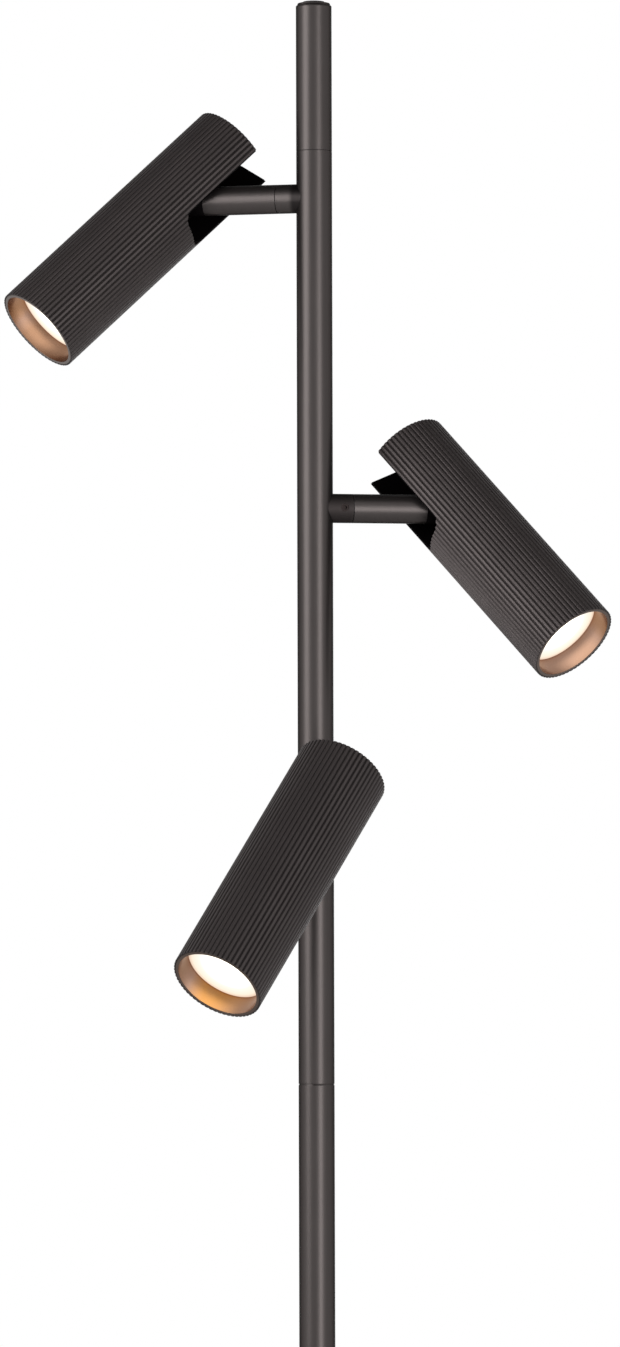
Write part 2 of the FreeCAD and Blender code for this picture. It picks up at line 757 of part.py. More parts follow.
def make_arm_tube(number):
    body = tube("arm_tube_" + number, size.arm_diameter, arm_bore, arm_tube_end - arm_start)
    along = Placement(Vector(0, 0, arm_start.value), Rotation())
    body.Placement = arm_frame(number).multiply(along)
    return body


# The knuckle: a turned bar with a round eye and two flats, which the hinge screws enter
def make_knuckle(number):
    body = new_body("knuckle_" + number)
    radius = size.arm_diameter / 2
    seat_radius = arm_bore / 2 - size.tube_fit
    bore_radius = size.knuckle_bore / 2
    turn(body, "knuckle_bar", (
        (bore_radius, arm_tube_end - size.knuckle_seat),
        (seat_radius, arm_tube_end - size.knuckle_seat),
        (seat_radius, arm_tube_end),
        (radius, arm_tube_end),
        (radius, size.arm_reach),
        (bore_radius, size.arm_reach)))
    sketch = new_sketch(body, "knuckle_eye", "XZ_Plane")
    draw_circle(sketch, size.arm_diameter, 0, size.arm_reach)
    extrude(body, "knuckle_eye", sketch, size.knuckle_width, both_ways=True)
    flats_start = arm_tube_end + size.knuckle_shoulder
    flats_length = size.arm_reach + radius - flats_start + size.overrun
    half_width = size.knuckle_width / 2
    for side, name in ((1, "knuckle_flat_left"), (-1, "knuckle_flat_right")):
        sketch = new_sketch(body, name, "XY_Plane", flats_start)
        draw_outline(sketch, (
            (-radius - size.overrun, side * half_width),
            (radius + size.overrun, side * half_width),
            (radius + size.overrun, side * (radius + size.overrun)),
            (-radius - size.overrun, side * (radius + size.overrun))))
        extrude(body, name, sketch, flats_length, cut=True, reverse=True)
    drill(body, "knuckle_hinge_bore", size.hinge_diameter + 2 * size.hinge_fit,
          size.knuckle_width + 2 * size.overrun,
          0, -half_width - size.overrun, size.arm_reach, ALONG_Y)
    drill(body, "knuckle_lead_bore", size.knuckle_bore,
          size.knuckle_seat + size.arm_reach + radius + size.overrun - arm_tube_end,
          0, 0, arm_tube_end - size.knuckle_seat)
    body.Placement = arm_frame(number)
    return body


def make_washers(number):
    washers = []
    for side, rotation in (("left", ALONG_Y), ("right", ALONG_MINUS_Y)):
        washer = tube("washer_{}_{}".format(side, number), size.washer_diameter,
                      size.hinge_diameter + 2 * size.hinge_fit, size.washer_thickness)
        sign = 1 if side == "left" else -1
        seat = Vector(0, sign * size.knuckle_width.value / 2, size.arm_reach.value)
        washer.Placement = arm_frame(number).multiply(Placement(seat, rotation))
        washers.append(washer)
    return group("friction_washers_" + number, washers)


def make_arm(number):
    return [make_spigot(number), make_arm_tube(number), make_knuckle(number),
            make_washers(number)]


# Spotlights. Lengths along a spotlight count from its rear rim.
shell_bore = size.shell_diameter - 2 * size.shell_wall
lamp_face = size.shell_length - size.lens_recess
lamp_foot = lamp_face - size.lamp_length
holder_rear = lamp_foot - size.holder_length


# The outline of the slot, its cheeks or its channel, seen square to the slot
def slot_outline(half_width, start, finish, corner):
    return (
        (-half_width, start),
        (half_width, start),
        (half_width, finish, corner),
        (-half_width, finish, corner))


def make_shell(number):
    body = new_body("head_shell_" + number)
    sketch = new_sketch(body, "head_shell_wall")
    draw_circle(sketch, size.shell_diameter)
    draw_circle(sketch, shell_bore)
    extrude(body, "head_shell_wall", sketch, size.shell_length)

    # One groove between two ribs, repeated round the shell
    outside = size.shell_diameter / 2
    half_groove = size.rib_groove_width / 2
    sketch = new_sketch(body, "head_shell_groove")
    draw_outline(sketch, (
        (outside - size.rib_depth, 0),
        (outside, -half_groove),
        (outside + size.rib_depth, -half_groove),
        (outside + size.rib_depth, half_groove),
        (outside, half_groove)))
    groove = extrude(body, "head_shell_groove", sketch, size.shell_length, cut=True, reverse=True)
    ribs = body.newObject("PartDesign::PolarPattern", "head_shell_ribs")
    ribs.Originals = [groove]
    ribs.Axis = (sketch, ["N_Axis"])
    ribs.Angle = FULL_TURN
    bind(ribs, "Occurrences", size.rib_count)
    body.Tip = ribs

    sketch = new_sketch(body, "head_shell_slot", "YZ_Plane")
    draw_outline(sketch, slot_outline(
        size.slot_width / 2, -size.overrun, slot_length, size.slot_corner))
    extrude(body, "head_shell_slot", sketch, outside + size.overrun, cut=True, reverse=True)
    body.Placement = head_frame(number)
    return body


# The rear housing: a moulded plug with a channel, in which the knuckle turns
def make_housing(number):
    body = new_body("rear_housing_" + number)
    half_slot = size.slot_width / 2
    cheek_half = half_slot - size.housing_fit
    channel_half = cheek_half - size.channel_wall
    sketch = new_sketch(body, "rear_housing_plug", "XY_Plane", size.housing_recess)
    draw_circle(sketch, shell_bore - 2 * size.housing_fit)
    extrude(body, "rear_housing_plug", sketch, housing_end - size.housing_recess)

    shell_radius = size.shell_diameter / 2
    cheek_top = square_root(shell_radius * shell_radius - half_slot * half_slot) - size.cheek_sink
    sketch = new_sketch(body, "rear_housing_cheeks", "YZ_Plane")
    draw_outline(sketch, slot_outline(
        cheek_half, size.housing_recess, slot_length - size.housing_fit,
        size.slot_corner - size.housing_fit))
    extrude(body, "rear_housing_cheeks", sketch, cheek_top)

    channel_end = slot_length - size.housing_fit - size.channel_wall
    sketch = new_sketch(body, "rear_housing_channel", "YZ_Plane", -size.channel_floor)
    draw_outline(sketch, slot_outline(
        channel_half, -size.overrun, channel_end,
        size.slot_corner - size.housing_fit - size.channel_wall))
    extrude(body, "rear_housing_channel", sketch,
            size.channel_floor + shell_radius + size.overrun, cut=True, reverse=True)

    sketch = new_sketch(body, "rear_housing_bosses", "XZ_Plane")
    draw_circle(sketch, size.boss_diameter, 0, pivot_place)
    extrude(body, "rear_housing_bosses", sketch, 2 * channel_half, both_ways=True)
    hinge_room = size.knuckle_width + 2 * (size.washer_thickness + size.washer_gap)
    sketch = new_sketch(body, "rear_housing_hinge_room", "XZ_Plane")
    draw_circle(sketch, size.boss_diameter + size.overrun, 0, pivot_place)
    extrude(body, "rear_housing_hinge_room", sketch, hinge_room, cut=True, both_ways=True)
    drill(body, "rear_housing_hinge_hole", size.hinge_diameter + 2 * size.hinge_fit,
          size.shell_diameter, 0, -shell_radius, pivot_place, ALONG_Y)
    for name, rotation, sign in (("left", ALONG_Y, 1), ("right", ALONG_MINUS_Y, -1)):
        drill(body, "rear_housing_head_room_" + name,
              size.hinge_head_diameter + 2 * size.hinge_head_fit, shell_radius,
              0, sign * cheek_half, pivot_place, rotation)
    drill(body, "rear_housing_stem_hole", size.stem_diameter + 2 * size.tube_fit,
          housing_end - channel_end + 2 * size.overrun,
          0, 0, channel_end - size.overrun)
    body.Placement = head_frame(number)
    return body


def make_hinge_screws(number):
    head_seat = size.slot_width / 2 - size.housing_fit
    screws = []
    for side, rotation in (("left", ALONG_Y), ("right", ALONG_MINUS_Y)):
        body = new_body("hinge_screw_{}_{}".format(side, number))
        head_top = head_seat + size.hinge_head_height
        shank_end = size.knuckle_width / 2 - size.hinge_screw_reach
        turn(body, "hinge_screw_turned", (
            (0, shank_end),
            (size.hinge_diameter / 2, shank_end),
            (size.hinge_diameter / 2, head_seat),
            (size.hinge_head_diameter / 2, head_seat),
            (size.hinge_head_diameter / 2, head_top),
            (0, head_top)))
        hexagon_socket(body, "hinge_screw_socket", size.hinge_socket,
                       size.hinge_socket_depth, head_top)
        sideways = Placement(Vector(0, 0, pivot_place.value), rotation)
        body.Placement = head_frame(number).multiply(sideways)
        screws.append(body)
    return group("hinge_screws_" + number, screws)


def make_stem(number):
    channel_end = slot_length - size.housing_fit - size.channel_wall
    stem_rear = channel_end + size.housing_fit
    body = tube("holder_stem_" + number, size.stem_diameter, size.stem_bore,
                holder_rear + size.holder_depth - stem_rear)
    along = Placement(Vector(0, 0, stem_rear.value), Rotation())
    body.Placement = head_frame(number).multiply(along)
    return body


def make_holder(number):
    body = new_body("lamp_holder_" + number)
    radius = size.holder_diameter / 2
    stem_hole = size.stem_diameter / 2 + size.tube_fit
    turn(body, "lamp_holder_block", (
        (stem_hole, holder_rear),
        (radius - size.holder_edge, holder_rear),
        (radius, holder_rear + size.holder_edge),
        (radius, lamp_foot),
        (0, lamp_foot),
        (0, holder_rear + size.holder_depth),
        (stem_hole, holder_rear + size.holder_depth)))
    for side, sign in (("left", 1), ("right", -1)):
        drill(body, "lamp_holder_pin_hole_" + side, size.lamp_pin_head + 2 * size.pin_fit,
              size.lamp_pin_length + size.pin_fit + size.overrun,
              0, sign * size.lamp_pin_spacing / 2, lamp_foot - size.lamp_pin_length - size.pin_fit)
    body.Placement = head_frame(number)
    return body


# The lamp: a hollow reflector on a neck with two headed pins
def make_lamp(number):
    body = new_body("bulb_body_" + number)
    neck = size.lamp_neck_diameter / 2
    mouth = size.lamp_diameter / 2
    neck_end = lamp_foot + size.lamp_neck_length
    band_start = lamp_face - size.lens_thickness - size.lamp_band
    turn(body, "bulb_body_reflector", (
        (0, lamp_foot),
        (neck, lamp_foot),
        (neck, neck_end),
        (mouth, band_start),
        (mouth, lamp_face - size.lens_thickness),
        (mouth - size.lamp_wall, lamp_face - size.lens_thickness),
        (mouth - size.lamp_wall, band_start),
        (neck - size.lamp_wall, neck_end),
        (0, neck_end)))
    for side, sign in (("left", 1), ("right", -1)):
        round_bar(body, "bulb_body_pin_" + side, size.lamp_pin_diameter, size.lamp_pin_length,
                  0, sign * size.lamp_pin_spacing / 2, lamp_foot - size.lamp_pin_length)
        round_bar(body, "bulb_body_pin_head_" + side, size.lamp_pin_head,
                  size.lamp_pin_head_length,
                  0, sign * size.lamp_pin_spacing / 2, lamp_foot - size.lamp_pin_length)
    body.Placement = head_frame(number)

    lens = new_body("bulb_lens_" + number)
    sketch = new_sketch(lens, "bulb_lens_disc", "XY_Plane", lamp_face - size.lens_thickness)
    draw_circle(sketch, size.lamp_diameter)
    extrude(lens, "bulb_lens_disc", sketch, size.lens_thickness)
    lens.Placement = head_frame(number)
    return [body, lens]


def make_trim(number):
    body = new_body("trim_ring_" + number)
    outside = shell_bore / 2 - size.trim_fit
    front = size.shell_length - size.trim_sink
    rear = lamp_face - size.trim_lap
    inside = size.lamp_diameter / 2 + size.lamp_fit
    turn(body, "trim_ring_sleeve", (
        (inside, rear),
        (outside, rear),
        (outside, front),
        (outside - size.trim_wall, front),
        (inside, lamp_face)))
    body.Placement = head_frame(number)
    return body


def make_head(number):
    return [make_shell(number), make_housing(number), make_hinge_screws(number),
            make_stem(number), make_holder(number), *make_lamp(number), make_trim(number)]


def make_lamp_assembly():
    pieces = make_foot() + make_pole() + make_collars()
    for number in ARM_NUMBERS:
        pieces += make_arm(number)
        pieces += make_head(number)
    return pieces


# Every object has to recompute, and every piece has to be a sound solid
def check_model(pieces):
    faults = []
    for thing in document.Objects:
        if "Invalid" in thing.State or "Error" in thing.State:
            faults.append("{} did not recompute".format(thing.Name))
    for piece in pieces:
        if piece.Shape.isNull() or not piece.Shape.isValid() or not piece.Shape.Solids:
            faults.append("{} is not a sound solid".format(piece.Label))
    if faults:
        raise RuntimeError("; ".join(faults))


def write_pieces(pieces):
    os.makedirs("parts", exist_ok=True)
    for piece in pieces:
        piece.Shape.exportStep("parts/{}.step".format(piece.Label))
        print("{}: {} solid(s), {:.1f} mm3".format(
            piece.Label, len(piece.Shape.Solids), piece.Shape.Volume))


pieces = make_lamp_assembly()
document.recompute()
check_model(pieces)
write_pieces(pieces)
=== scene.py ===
"""Looks of the reading floor lamp: a slim pole on a heavy round foot with three ribbed spotlights.

Lengths are in metres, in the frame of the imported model: the origin is on the floor on the
pole's axis, and +Z is up. A spotlight's own frame has z from its rear rim to its mouth and
x towards its slot. An arm's own frame has z outward along the arm.
"""

import json
import logging
import math
from dataclasses import dataclass
from enum import Enum
from typing import Any, Callable, Iterable, Sequence

import bmesh
import bpy
from bpy.types import ID, Material, Mesh, Node, NodeSocket, NodeTree, Object, World
from mathutils import Matrix, Quaternion, Vector
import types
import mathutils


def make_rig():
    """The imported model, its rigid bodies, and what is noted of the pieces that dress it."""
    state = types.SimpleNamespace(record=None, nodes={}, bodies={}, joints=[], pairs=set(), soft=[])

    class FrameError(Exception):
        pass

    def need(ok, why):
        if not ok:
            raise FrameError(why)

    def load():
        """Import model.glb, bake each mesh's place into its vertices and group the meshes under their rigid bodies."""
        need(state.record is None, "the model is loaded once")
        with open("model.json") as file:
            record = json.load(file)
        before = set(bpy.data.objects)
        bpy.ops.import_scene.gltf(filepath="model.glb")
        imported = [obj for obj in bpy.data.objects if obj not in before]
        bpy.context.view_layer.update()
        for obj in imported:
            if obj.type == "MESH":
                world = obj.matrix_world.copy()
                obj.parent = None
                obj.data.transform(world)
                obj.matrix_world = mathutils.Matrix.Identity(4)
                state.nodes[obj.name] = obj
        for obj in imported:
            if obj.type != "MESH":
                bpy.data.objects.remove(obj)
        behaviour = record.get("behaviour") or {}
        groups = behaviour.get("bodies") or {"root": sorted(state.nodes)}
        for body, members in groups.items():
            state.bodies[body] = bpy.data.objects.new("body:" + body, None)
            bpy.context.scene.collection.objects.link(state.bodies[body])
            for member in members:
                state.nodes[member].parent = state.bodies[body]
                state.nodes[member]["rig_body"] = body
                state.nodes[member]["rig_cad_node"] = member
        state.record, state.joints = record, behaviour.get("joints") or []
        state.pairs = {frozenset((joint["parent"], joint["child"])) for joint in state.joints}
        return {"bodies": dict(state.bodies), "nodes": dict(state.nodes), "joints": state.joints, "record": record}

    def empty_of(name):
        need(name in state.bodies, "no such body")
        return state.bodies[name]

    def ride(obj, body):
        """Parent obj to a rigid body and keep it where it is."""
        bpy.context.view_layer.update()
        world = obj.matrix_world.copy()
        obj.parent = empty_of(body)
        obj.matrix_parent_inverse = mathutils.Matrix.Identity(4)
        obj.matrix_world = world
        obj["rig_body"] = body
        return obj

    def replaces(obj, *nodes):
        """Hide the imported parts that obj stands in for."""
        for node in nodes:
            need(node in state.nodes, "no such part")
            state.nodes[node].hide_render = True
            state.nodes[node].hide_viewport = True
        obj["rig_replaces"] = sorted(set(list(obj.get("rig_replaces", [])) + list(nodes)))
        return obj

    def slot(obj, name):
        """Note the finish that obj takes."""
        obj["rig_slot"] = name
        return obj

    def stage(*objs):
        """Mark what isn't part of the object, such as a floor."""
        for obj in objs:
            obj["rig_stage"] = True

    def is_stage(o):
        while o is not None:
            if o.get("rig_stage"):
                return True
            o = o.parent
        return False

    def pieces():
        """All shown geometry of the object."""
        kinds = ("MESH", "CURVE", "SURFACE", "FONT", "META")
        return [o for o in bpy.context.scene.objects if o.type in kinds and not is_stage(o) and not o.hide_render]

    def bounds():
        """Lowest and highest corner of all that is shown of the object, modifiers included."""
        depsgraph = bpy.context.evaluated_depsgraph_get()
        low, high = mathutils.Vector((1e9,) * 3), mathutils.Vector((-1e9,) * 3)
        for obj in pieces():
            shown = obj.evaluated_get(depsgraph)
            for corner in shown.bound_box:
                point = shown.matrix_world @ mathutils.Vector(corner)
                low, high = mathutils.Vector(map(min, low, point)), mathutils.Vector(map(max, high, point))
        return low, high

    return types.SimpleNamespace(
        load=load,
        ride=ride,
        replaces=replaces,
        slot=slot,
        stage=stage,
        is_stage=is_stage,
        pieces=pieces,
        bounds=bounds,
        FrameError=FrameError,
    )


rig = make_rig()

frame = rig.load()

MM = 0.001
WORK_FOLDER = "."
AXIS_REACH = 1e-7
MERGE_DISTANCE = 1e-6
FLAT_ANGLE = math.radians(0.5)
EASED_ANGLE = math.radians(40)
EASED_STEPS = 2
ROUNDED_SHARE = 0.4
BESIDE_SHARE = 0.1
PLACE_LAYER = "own_place"
BRONZE = (0.062, 0.0545, 0.053)

log = logging.getLogger("reading_floor_lamp")

Colour = tuple[float, float, float]
Outline = list[tuple[float, float]]


# Shader and geometry trees


class Wire:
    """A number socket of a node tree. Python's operators add Math nodes to the tree."""

    def __init__(self, canvas: "Canvas", socket: NodeSocket) -> None:
        """Wraps an output socket that holds a number."""
        self.canvas = canvas
        self.socket = socket

    def __add__(self, other: "Wire | float") -> "Wire":
        """This number plus another."""
        return self.canvas.math("ADD", self, other)

    def __sub__(self, other: "Wire | float") -> "Wire":
        """This number less another."""
        return self.canvas.math("SUBTRACT", self, other)

    def __mul__(self, other: "Wire | float") -> "Wire":
        """This number times another."""
        return self.canvas.math("MULTIPLY", self, other)

    def __truediv__(self, other: "Wire | float") -> "Wire":
        """This number divided by another."""
        return self.canvas.math("DIVIDE", self, other)


class Canvas:
    """The node tree of a material, a world or a modifier."""

    def __init__(self, tree: NodeTree) -> None:
        """Takes over a tree and clears it."""
        self.tree = tree
        tree.nodes.clear()

    @classmethod
    def of(cls, owner: Material | World) -> "Canvas":
        """The canvas of a new material or world."""
        owner.use_nodes = True
        return cls(owner.node_tree)

    def add(self, kind: str, values: dict[str | int, Any] | None = None, **settings: Any) -> Node:
        """Adds a node: its settings first, then its values and links.

        Args:
            kind: The node's type.
            values: Numbers, colours, wires or sockets for its inputs, by name or by place.
            settings: Its own settings.

        Returns:
            The new node.
        """
        node = self.tree.nodes.new(kind)
        for name, setting in settings.items():
            setattr(node, name, setting)
        for name, value in (values or {}).items():
            socket = node.inputs[name]
            source = value.socket if isinstance(value, Wire) else value
            if isinstance(source, NodeSocket):
                self.tree.links.new(source, socket)
            else:
                socket.default_value = source
        return node

    def wire(self, node: Node, output: str | int = 0) -> Wire:
        """An output of a node as a wire."""
        return Wire(self, node.outputs[output])

    def math(self, operation: str, *values: Wire | float) -> Wire:
        """The result of a Math node with these inputs."""
        inputs = dict(enumerate(values))
        return self.wire(self.add("ShaderNodeMath", inputs, operation=operation))

    def from_axis(self, place: NodeSocket) -> Wire:
        """How far a place is from the z axis."""
        parts = self.add("ShaderNodeSeparateXYZ", {0: place})
        across, beside = self.wire(parts, 0), self.wire(parts, 1)
        return self.math("SQRT", across * across + beside * beside)

    def backdrop_share(self) -> Wire:
        """1 for rays that see the backdrop: from the camera, from metal and through glass."""
        path = self.add("ShaderNodeLightPath")
        mirrored, through, seen = (self.wire(path, name) for name in (
            "Is Glossy Ray", "Is Transmission Ray", "Is Camera Ray"))
        return self.math("MAXIMUM", self.math("MAXIMUM", mirrored, through), seen)

    def smooth(self, value: Any, low: Any, high: Any, first: Any = 0.0, last: Any = 1.0) -> Wire:
        """Goes smoothly from a first number, where a value is low, to a last one."""
        inputs = {"Value": value, "From Min": low, "From Max": high, "To Min": first, "To Max": last}
        return self.wire(self.add("ShaderNodeMapRange", inputs, interpolation_type="SMOOTHSTEP"))

    def blend(self, share: Wire | float, first: Any, second: Any) -> NodeSocket:
        """Mixes two colours: a share of 0 gives the first and 1 the second."""
        inputs = {0: share, 6: first, 7: second}
        return self.add("ShaderNodeMix", inputs, data_type="RGBA").outputs[2]

    def ramp(self, share: Wire, places: Sequence[float], colours: Sequence[Colour]) -> NodeSocket:
        """A colour that changes with a share.

        Args:
            share: What the colour follows, from 0 to 1.
            places: Where the share meets each colour.
            colours: The colours.

        Returns:
            The socket of the colour.
        """
        node = self.add("ShaderNodeValToRGB", {0: share})
        stops = node.color_ramp.elements
        while len(stops) < len(places):
            stops.new(1.0)
        for stop, place, colour in zip(stops, places, colours):
            stop.position = place
            stop.color = (*colour, 1.0)
        return node.outputs[0]

    def noise(self, place: NodeSocket, scale: float, detail: float = 2.0) -> Wire:
        """A noise from 0 to 1 with a scale in waves a metre and a detail in octaves."""
        inputs = {"Vector": place, "Scale": scale, "Detail": detail}
        return self.wire(self.add("ShaderNodeTexNoise", inputs))

    def stretched(self, place: NodeSocket, scale: Sequence[float]) -> NodeSocket:
        """A place with its axes scaled."""
        return self.add("ShaderNodeMapping", {"Vector": place, "Scale": tuple(scale)}).outputs[0]


def grey(level: float) -> tuple[float, float, float, float]:
    """A grey with full opacity."""
    return (level, level, level, 1.0)


# Finishes


@dataclass(frozen=True)
class Finish:
    """A plain finish: a base colour with soft variation, a fine grain and a gloss.

    The grain's depth is in millimetres. Its share says how much of it shows in the cloud.
    """

    name: str
    colour: Colour
    roughness: float = 0.5
    metallic: float = 0.0
    specular: float = 0.5
    edge_gloss: float = 1.0
    variation: float = 0.12
    cloud_scale: float = 30.0
    grain_scale: float = 900.0
    grain_depth: float = 0.02
    grain_detail: float = 3.0
    grain_stretch: Sequence[float] = (1.0, 1.0, 1.0)
    grain_share: float = 0.0
    bump_strength: float = 0.5
    roughness_swing: float = 0.06

    def material(self) -> Material:
        """The finish as a material, made once.

        Returns:
            The material.
        """
        full_name = "dressed_" + self.name
        if full_name in bpy.data.materials:
            return bpy.data.materials[full_name]
        made = bpy.data.materials.new(full_name)
        canvas = Canvas.of(made)
        place = self.place(canvas)
        cloud = canvas.noise(place, self.cloud_scale)
        grain = canvas.noise(canvas.stretched(place, self.grain_stretch), self.grain_scale,
                             self.grain_detail)
        cloud = cloud * (1 - self.grain_share) + grain * self.grain_share
        bump = canvas.add("ShaderNodeBump", {
            "Strength": self.bump_strength, "Distance": self.grain_depth * MM, "Height": grain})
        shader = canvas.add("ShaderNodeBsdfPrincipled", {
            "Base Color": self.colouring(canvas, place, cloud), "Metallic": self.metallic,
            "Roughness": (cloud - 0.5) * self.roughness_swing + self.roughness,
            "Specular IOR Level": self.specular, "Specular Tint": grey(self.edge_gloss),
            "Normal": bump.outputs[0], **self.glow(canvas, place)})
        canvas.add("ShaderNodeOutputMaterial", {"Surface": shader.outputs[0]})
        return made

    def place(self, canvas: Canvas) -> NodeSocket:
        """The place that the finish's patterns read."""
        return canvas.add("ShaderNodeTexCoord").outputs["Object"]

    def colouring(self, canvas: Canvas, place: NodeSocket, cloud: Wire) -> NodeSocket:
        """The base colour, a little darker and lighter with the cloud."""
        darker, lighter = ((*(part * level for part in self.colour), 1.0)
                           for level in (1 - self.variation, 1 + self.variation))
        return canvas.blend(cloud, darker, lighter)

    def worn(self, canvas: Canvas, colour: NodeSocket, cloud: Wire) -> NodeSocket:
        """A colour that the cloud darkens."""
        return canvas.blend(cloud * (2 * self.variation), colour, grey(0.0))

    def glow(self, canvas: Canvas, place: NodeSocket) -> dict[str, Any]:
        """What makes the shader shine: nothing in a plain finish."""
        return {}


@dataclass(frozen=True)
class OwnFinish(Finish):
    """A finish whose patterns follow the frame of the piece's own sub-assembly."""

    def place(self, canvas: Canvas) -> NodeSocket:
        """The place in the piece's own frame."""
        return canvas.add("ShaderNodeAttribute", attribute_name=PLACE_LAYER).outputs["Vector"]


@dataclass(frozen=True)
class CollarLacquer(OwnFinish):
    """Satin lacquer of a swivel collar, with painted shade that darkens its end against the pole."""

    grain_detail: float = 4.0
    # Colour of the painted shade, and where it fades out along the collar.
    painted_shade_colour: Colour = (0.02, 0.0175, 0.0172)
    shade_until: float = 11.5 * MM
    clear_from: float = 15.0 * MM

    def colouring(self, canvas: Canvas, place: NodeSocket, cloud: Wire) -> NodeSocket:
        """Paints shade onto the plain colour towards the pole."""
        outward = canvas.wire(canvas.add("ShaderNodeSeparateXYZ", {0: place}), "Z")
        return canvas.blend(canvas.smooth(outward, self.shade_until, self.clear_from),
                            (*self.painted_shade_colour, 1.0), super().colouring(canvas, place, cloud))


@dataclass(frozen=True)
class RibbedLacquer(OwnFinish):
    """Satin lacquer on the ribbed shells, with painted shade in the grooves and a painted highlight on the crests.

    The shares are of the rim's depth, from its inner edge out.
    """

    grain_stretch: Sequence[float] = (1.0, 1.0, 0.2)
    outside_radius: float = 28.5 * MM
    rib_depth: float = 0.65 * MM
    rim_depth: float = 1.6 * MM
    floor_share: float = 0.1
    flank_shares: Sequence[float] = (0.8, 0.95, 1.0)
    # The painted highlight on the crests and the painted shade in the grooves.
    crest_highlight_colour: Colour = (0.068, 0.058, 0.057)
    groove_shade_colour: Colour = (0.02, 0.0165, 0.0162)

    def colouring(self, canvas: Canvas, place: NodeSocket, cloud: Wire) -> NodeSocket:
        """Paints shade into the grooves and a highlight onto the crests of the ribs.

        Args:
            canvas: The material's tree.
            place: The place in the shell's frame.
            cloud: Soft variation from 0 to 1.

        Returns:
            The socket of the colour.
        """
        rim = self.outside_radius - self.rim_depth
        height = (canvas.from_axis(place) - rim) / self.rim_depth
        floor = 1 - self.rib_depth / self.rim_depth
        ramp = canvas.ramp(height, (0.0, floor - self.floor_share, floor, *self.flank_shares), (
            self.colour, self.colour, self.groove_shade_colour, self.colour, self.colour,
            self.crest_highlight_colour))
        return self.worn(canvas, ramp, cloud)


@dataclass(frozen=True)
class TurnedMetal(OwnFinish):
    """Polished metal with fine turning marks round its own axis, and painted pink and amber reflections stretched
    along that axis.
    """

    grain_scale: float = 2500.0
    grain_detail: float = 2.0
    grain_stretch: Sequence[float] = (0.0, 0.0, 1.0)
    grain_share: float = 1.0
    # Painted reflections: soft pink and amber stretches along the ring's axis.
    reflection_scale: float = 22.0
    reflection_stretch: Sequence[float] = (1.0, 1.0, 0.3)
    reflection_shares: Sequence[float] = (0.3, 0.45, 0.6, 0.75)
    pink_reflection_colour: Colour = (0.33, 0.215, 0.175)
    amber_reflection_colour: Colour = (0.4, 0.2, 0.07)
    lip_colour: Colour = (0.07, 0.048, 0.038)
    lip_inside: float = 25.62 * MM

    def colouring(self, canvas: Canvas, place: NodeSocket, cloud: Wire) -> NodeSocket:
        """Paints soft pink and amber reflections stretched along the axis, and draws a dark lip.

        Args:
            canvas: The material's tree.
            place: The place in the ring's frame.
            cloud: The turning marks from 0 to 1.

        Returns:
            The socket of the colour.
        """
        painted_reflections = canvas.noise(canvas.stretched(place, self.reflection_stretch), self.reflection_scale, 0.0)
        tones = canvas.ramp(painted_reflections, self.reflection_shares, (
            self.colour, self.pink_reflection_colour, self.amber_reflection_colour, self.pink_reflection_colour))
        lip = canvas.math("GREATER_THAN", canvas.from_axis(place), self.lip_inside)
        return canvas.blend(lip, self.worn(canvas, tones, cloud), (*self.lip_colour, 1.0))


@dataclass(frozen=True)
class LitLens(OwnFinish):
    """The lit front disc of a lamp: nearly white in the middle and warmer to its edge."""

    grain_detail: float = 2.0
    radius: float = 25 * MM
    strength: float = 3.2
    radius_shares: Sequence[float] = (0.0, 0.3, 0.7, 0.9, 1.0)
    middle: Colour = (1.0, 0.94, 0.8)
    between: Colour = (0.32, 0.3, 0.27)
    warm: Colour = (0.305, 0.265, 0.215)
    edge: Colour = (0.24, 0.17, 0.125)

    def glow(self, canvas: Canvas, place: NodeSocket) -> dict[str, Any]:
        """Lights the disc by the distance from its own axis."""
        colour = canvas.ramp(canvas.from_axis(place) / self.radius, self.radius_shares, (
            self.middle, self.middle, self.between, self.warm, self.edge))
        return {"Emission Color": colour, "Emission Strength": self.strength}


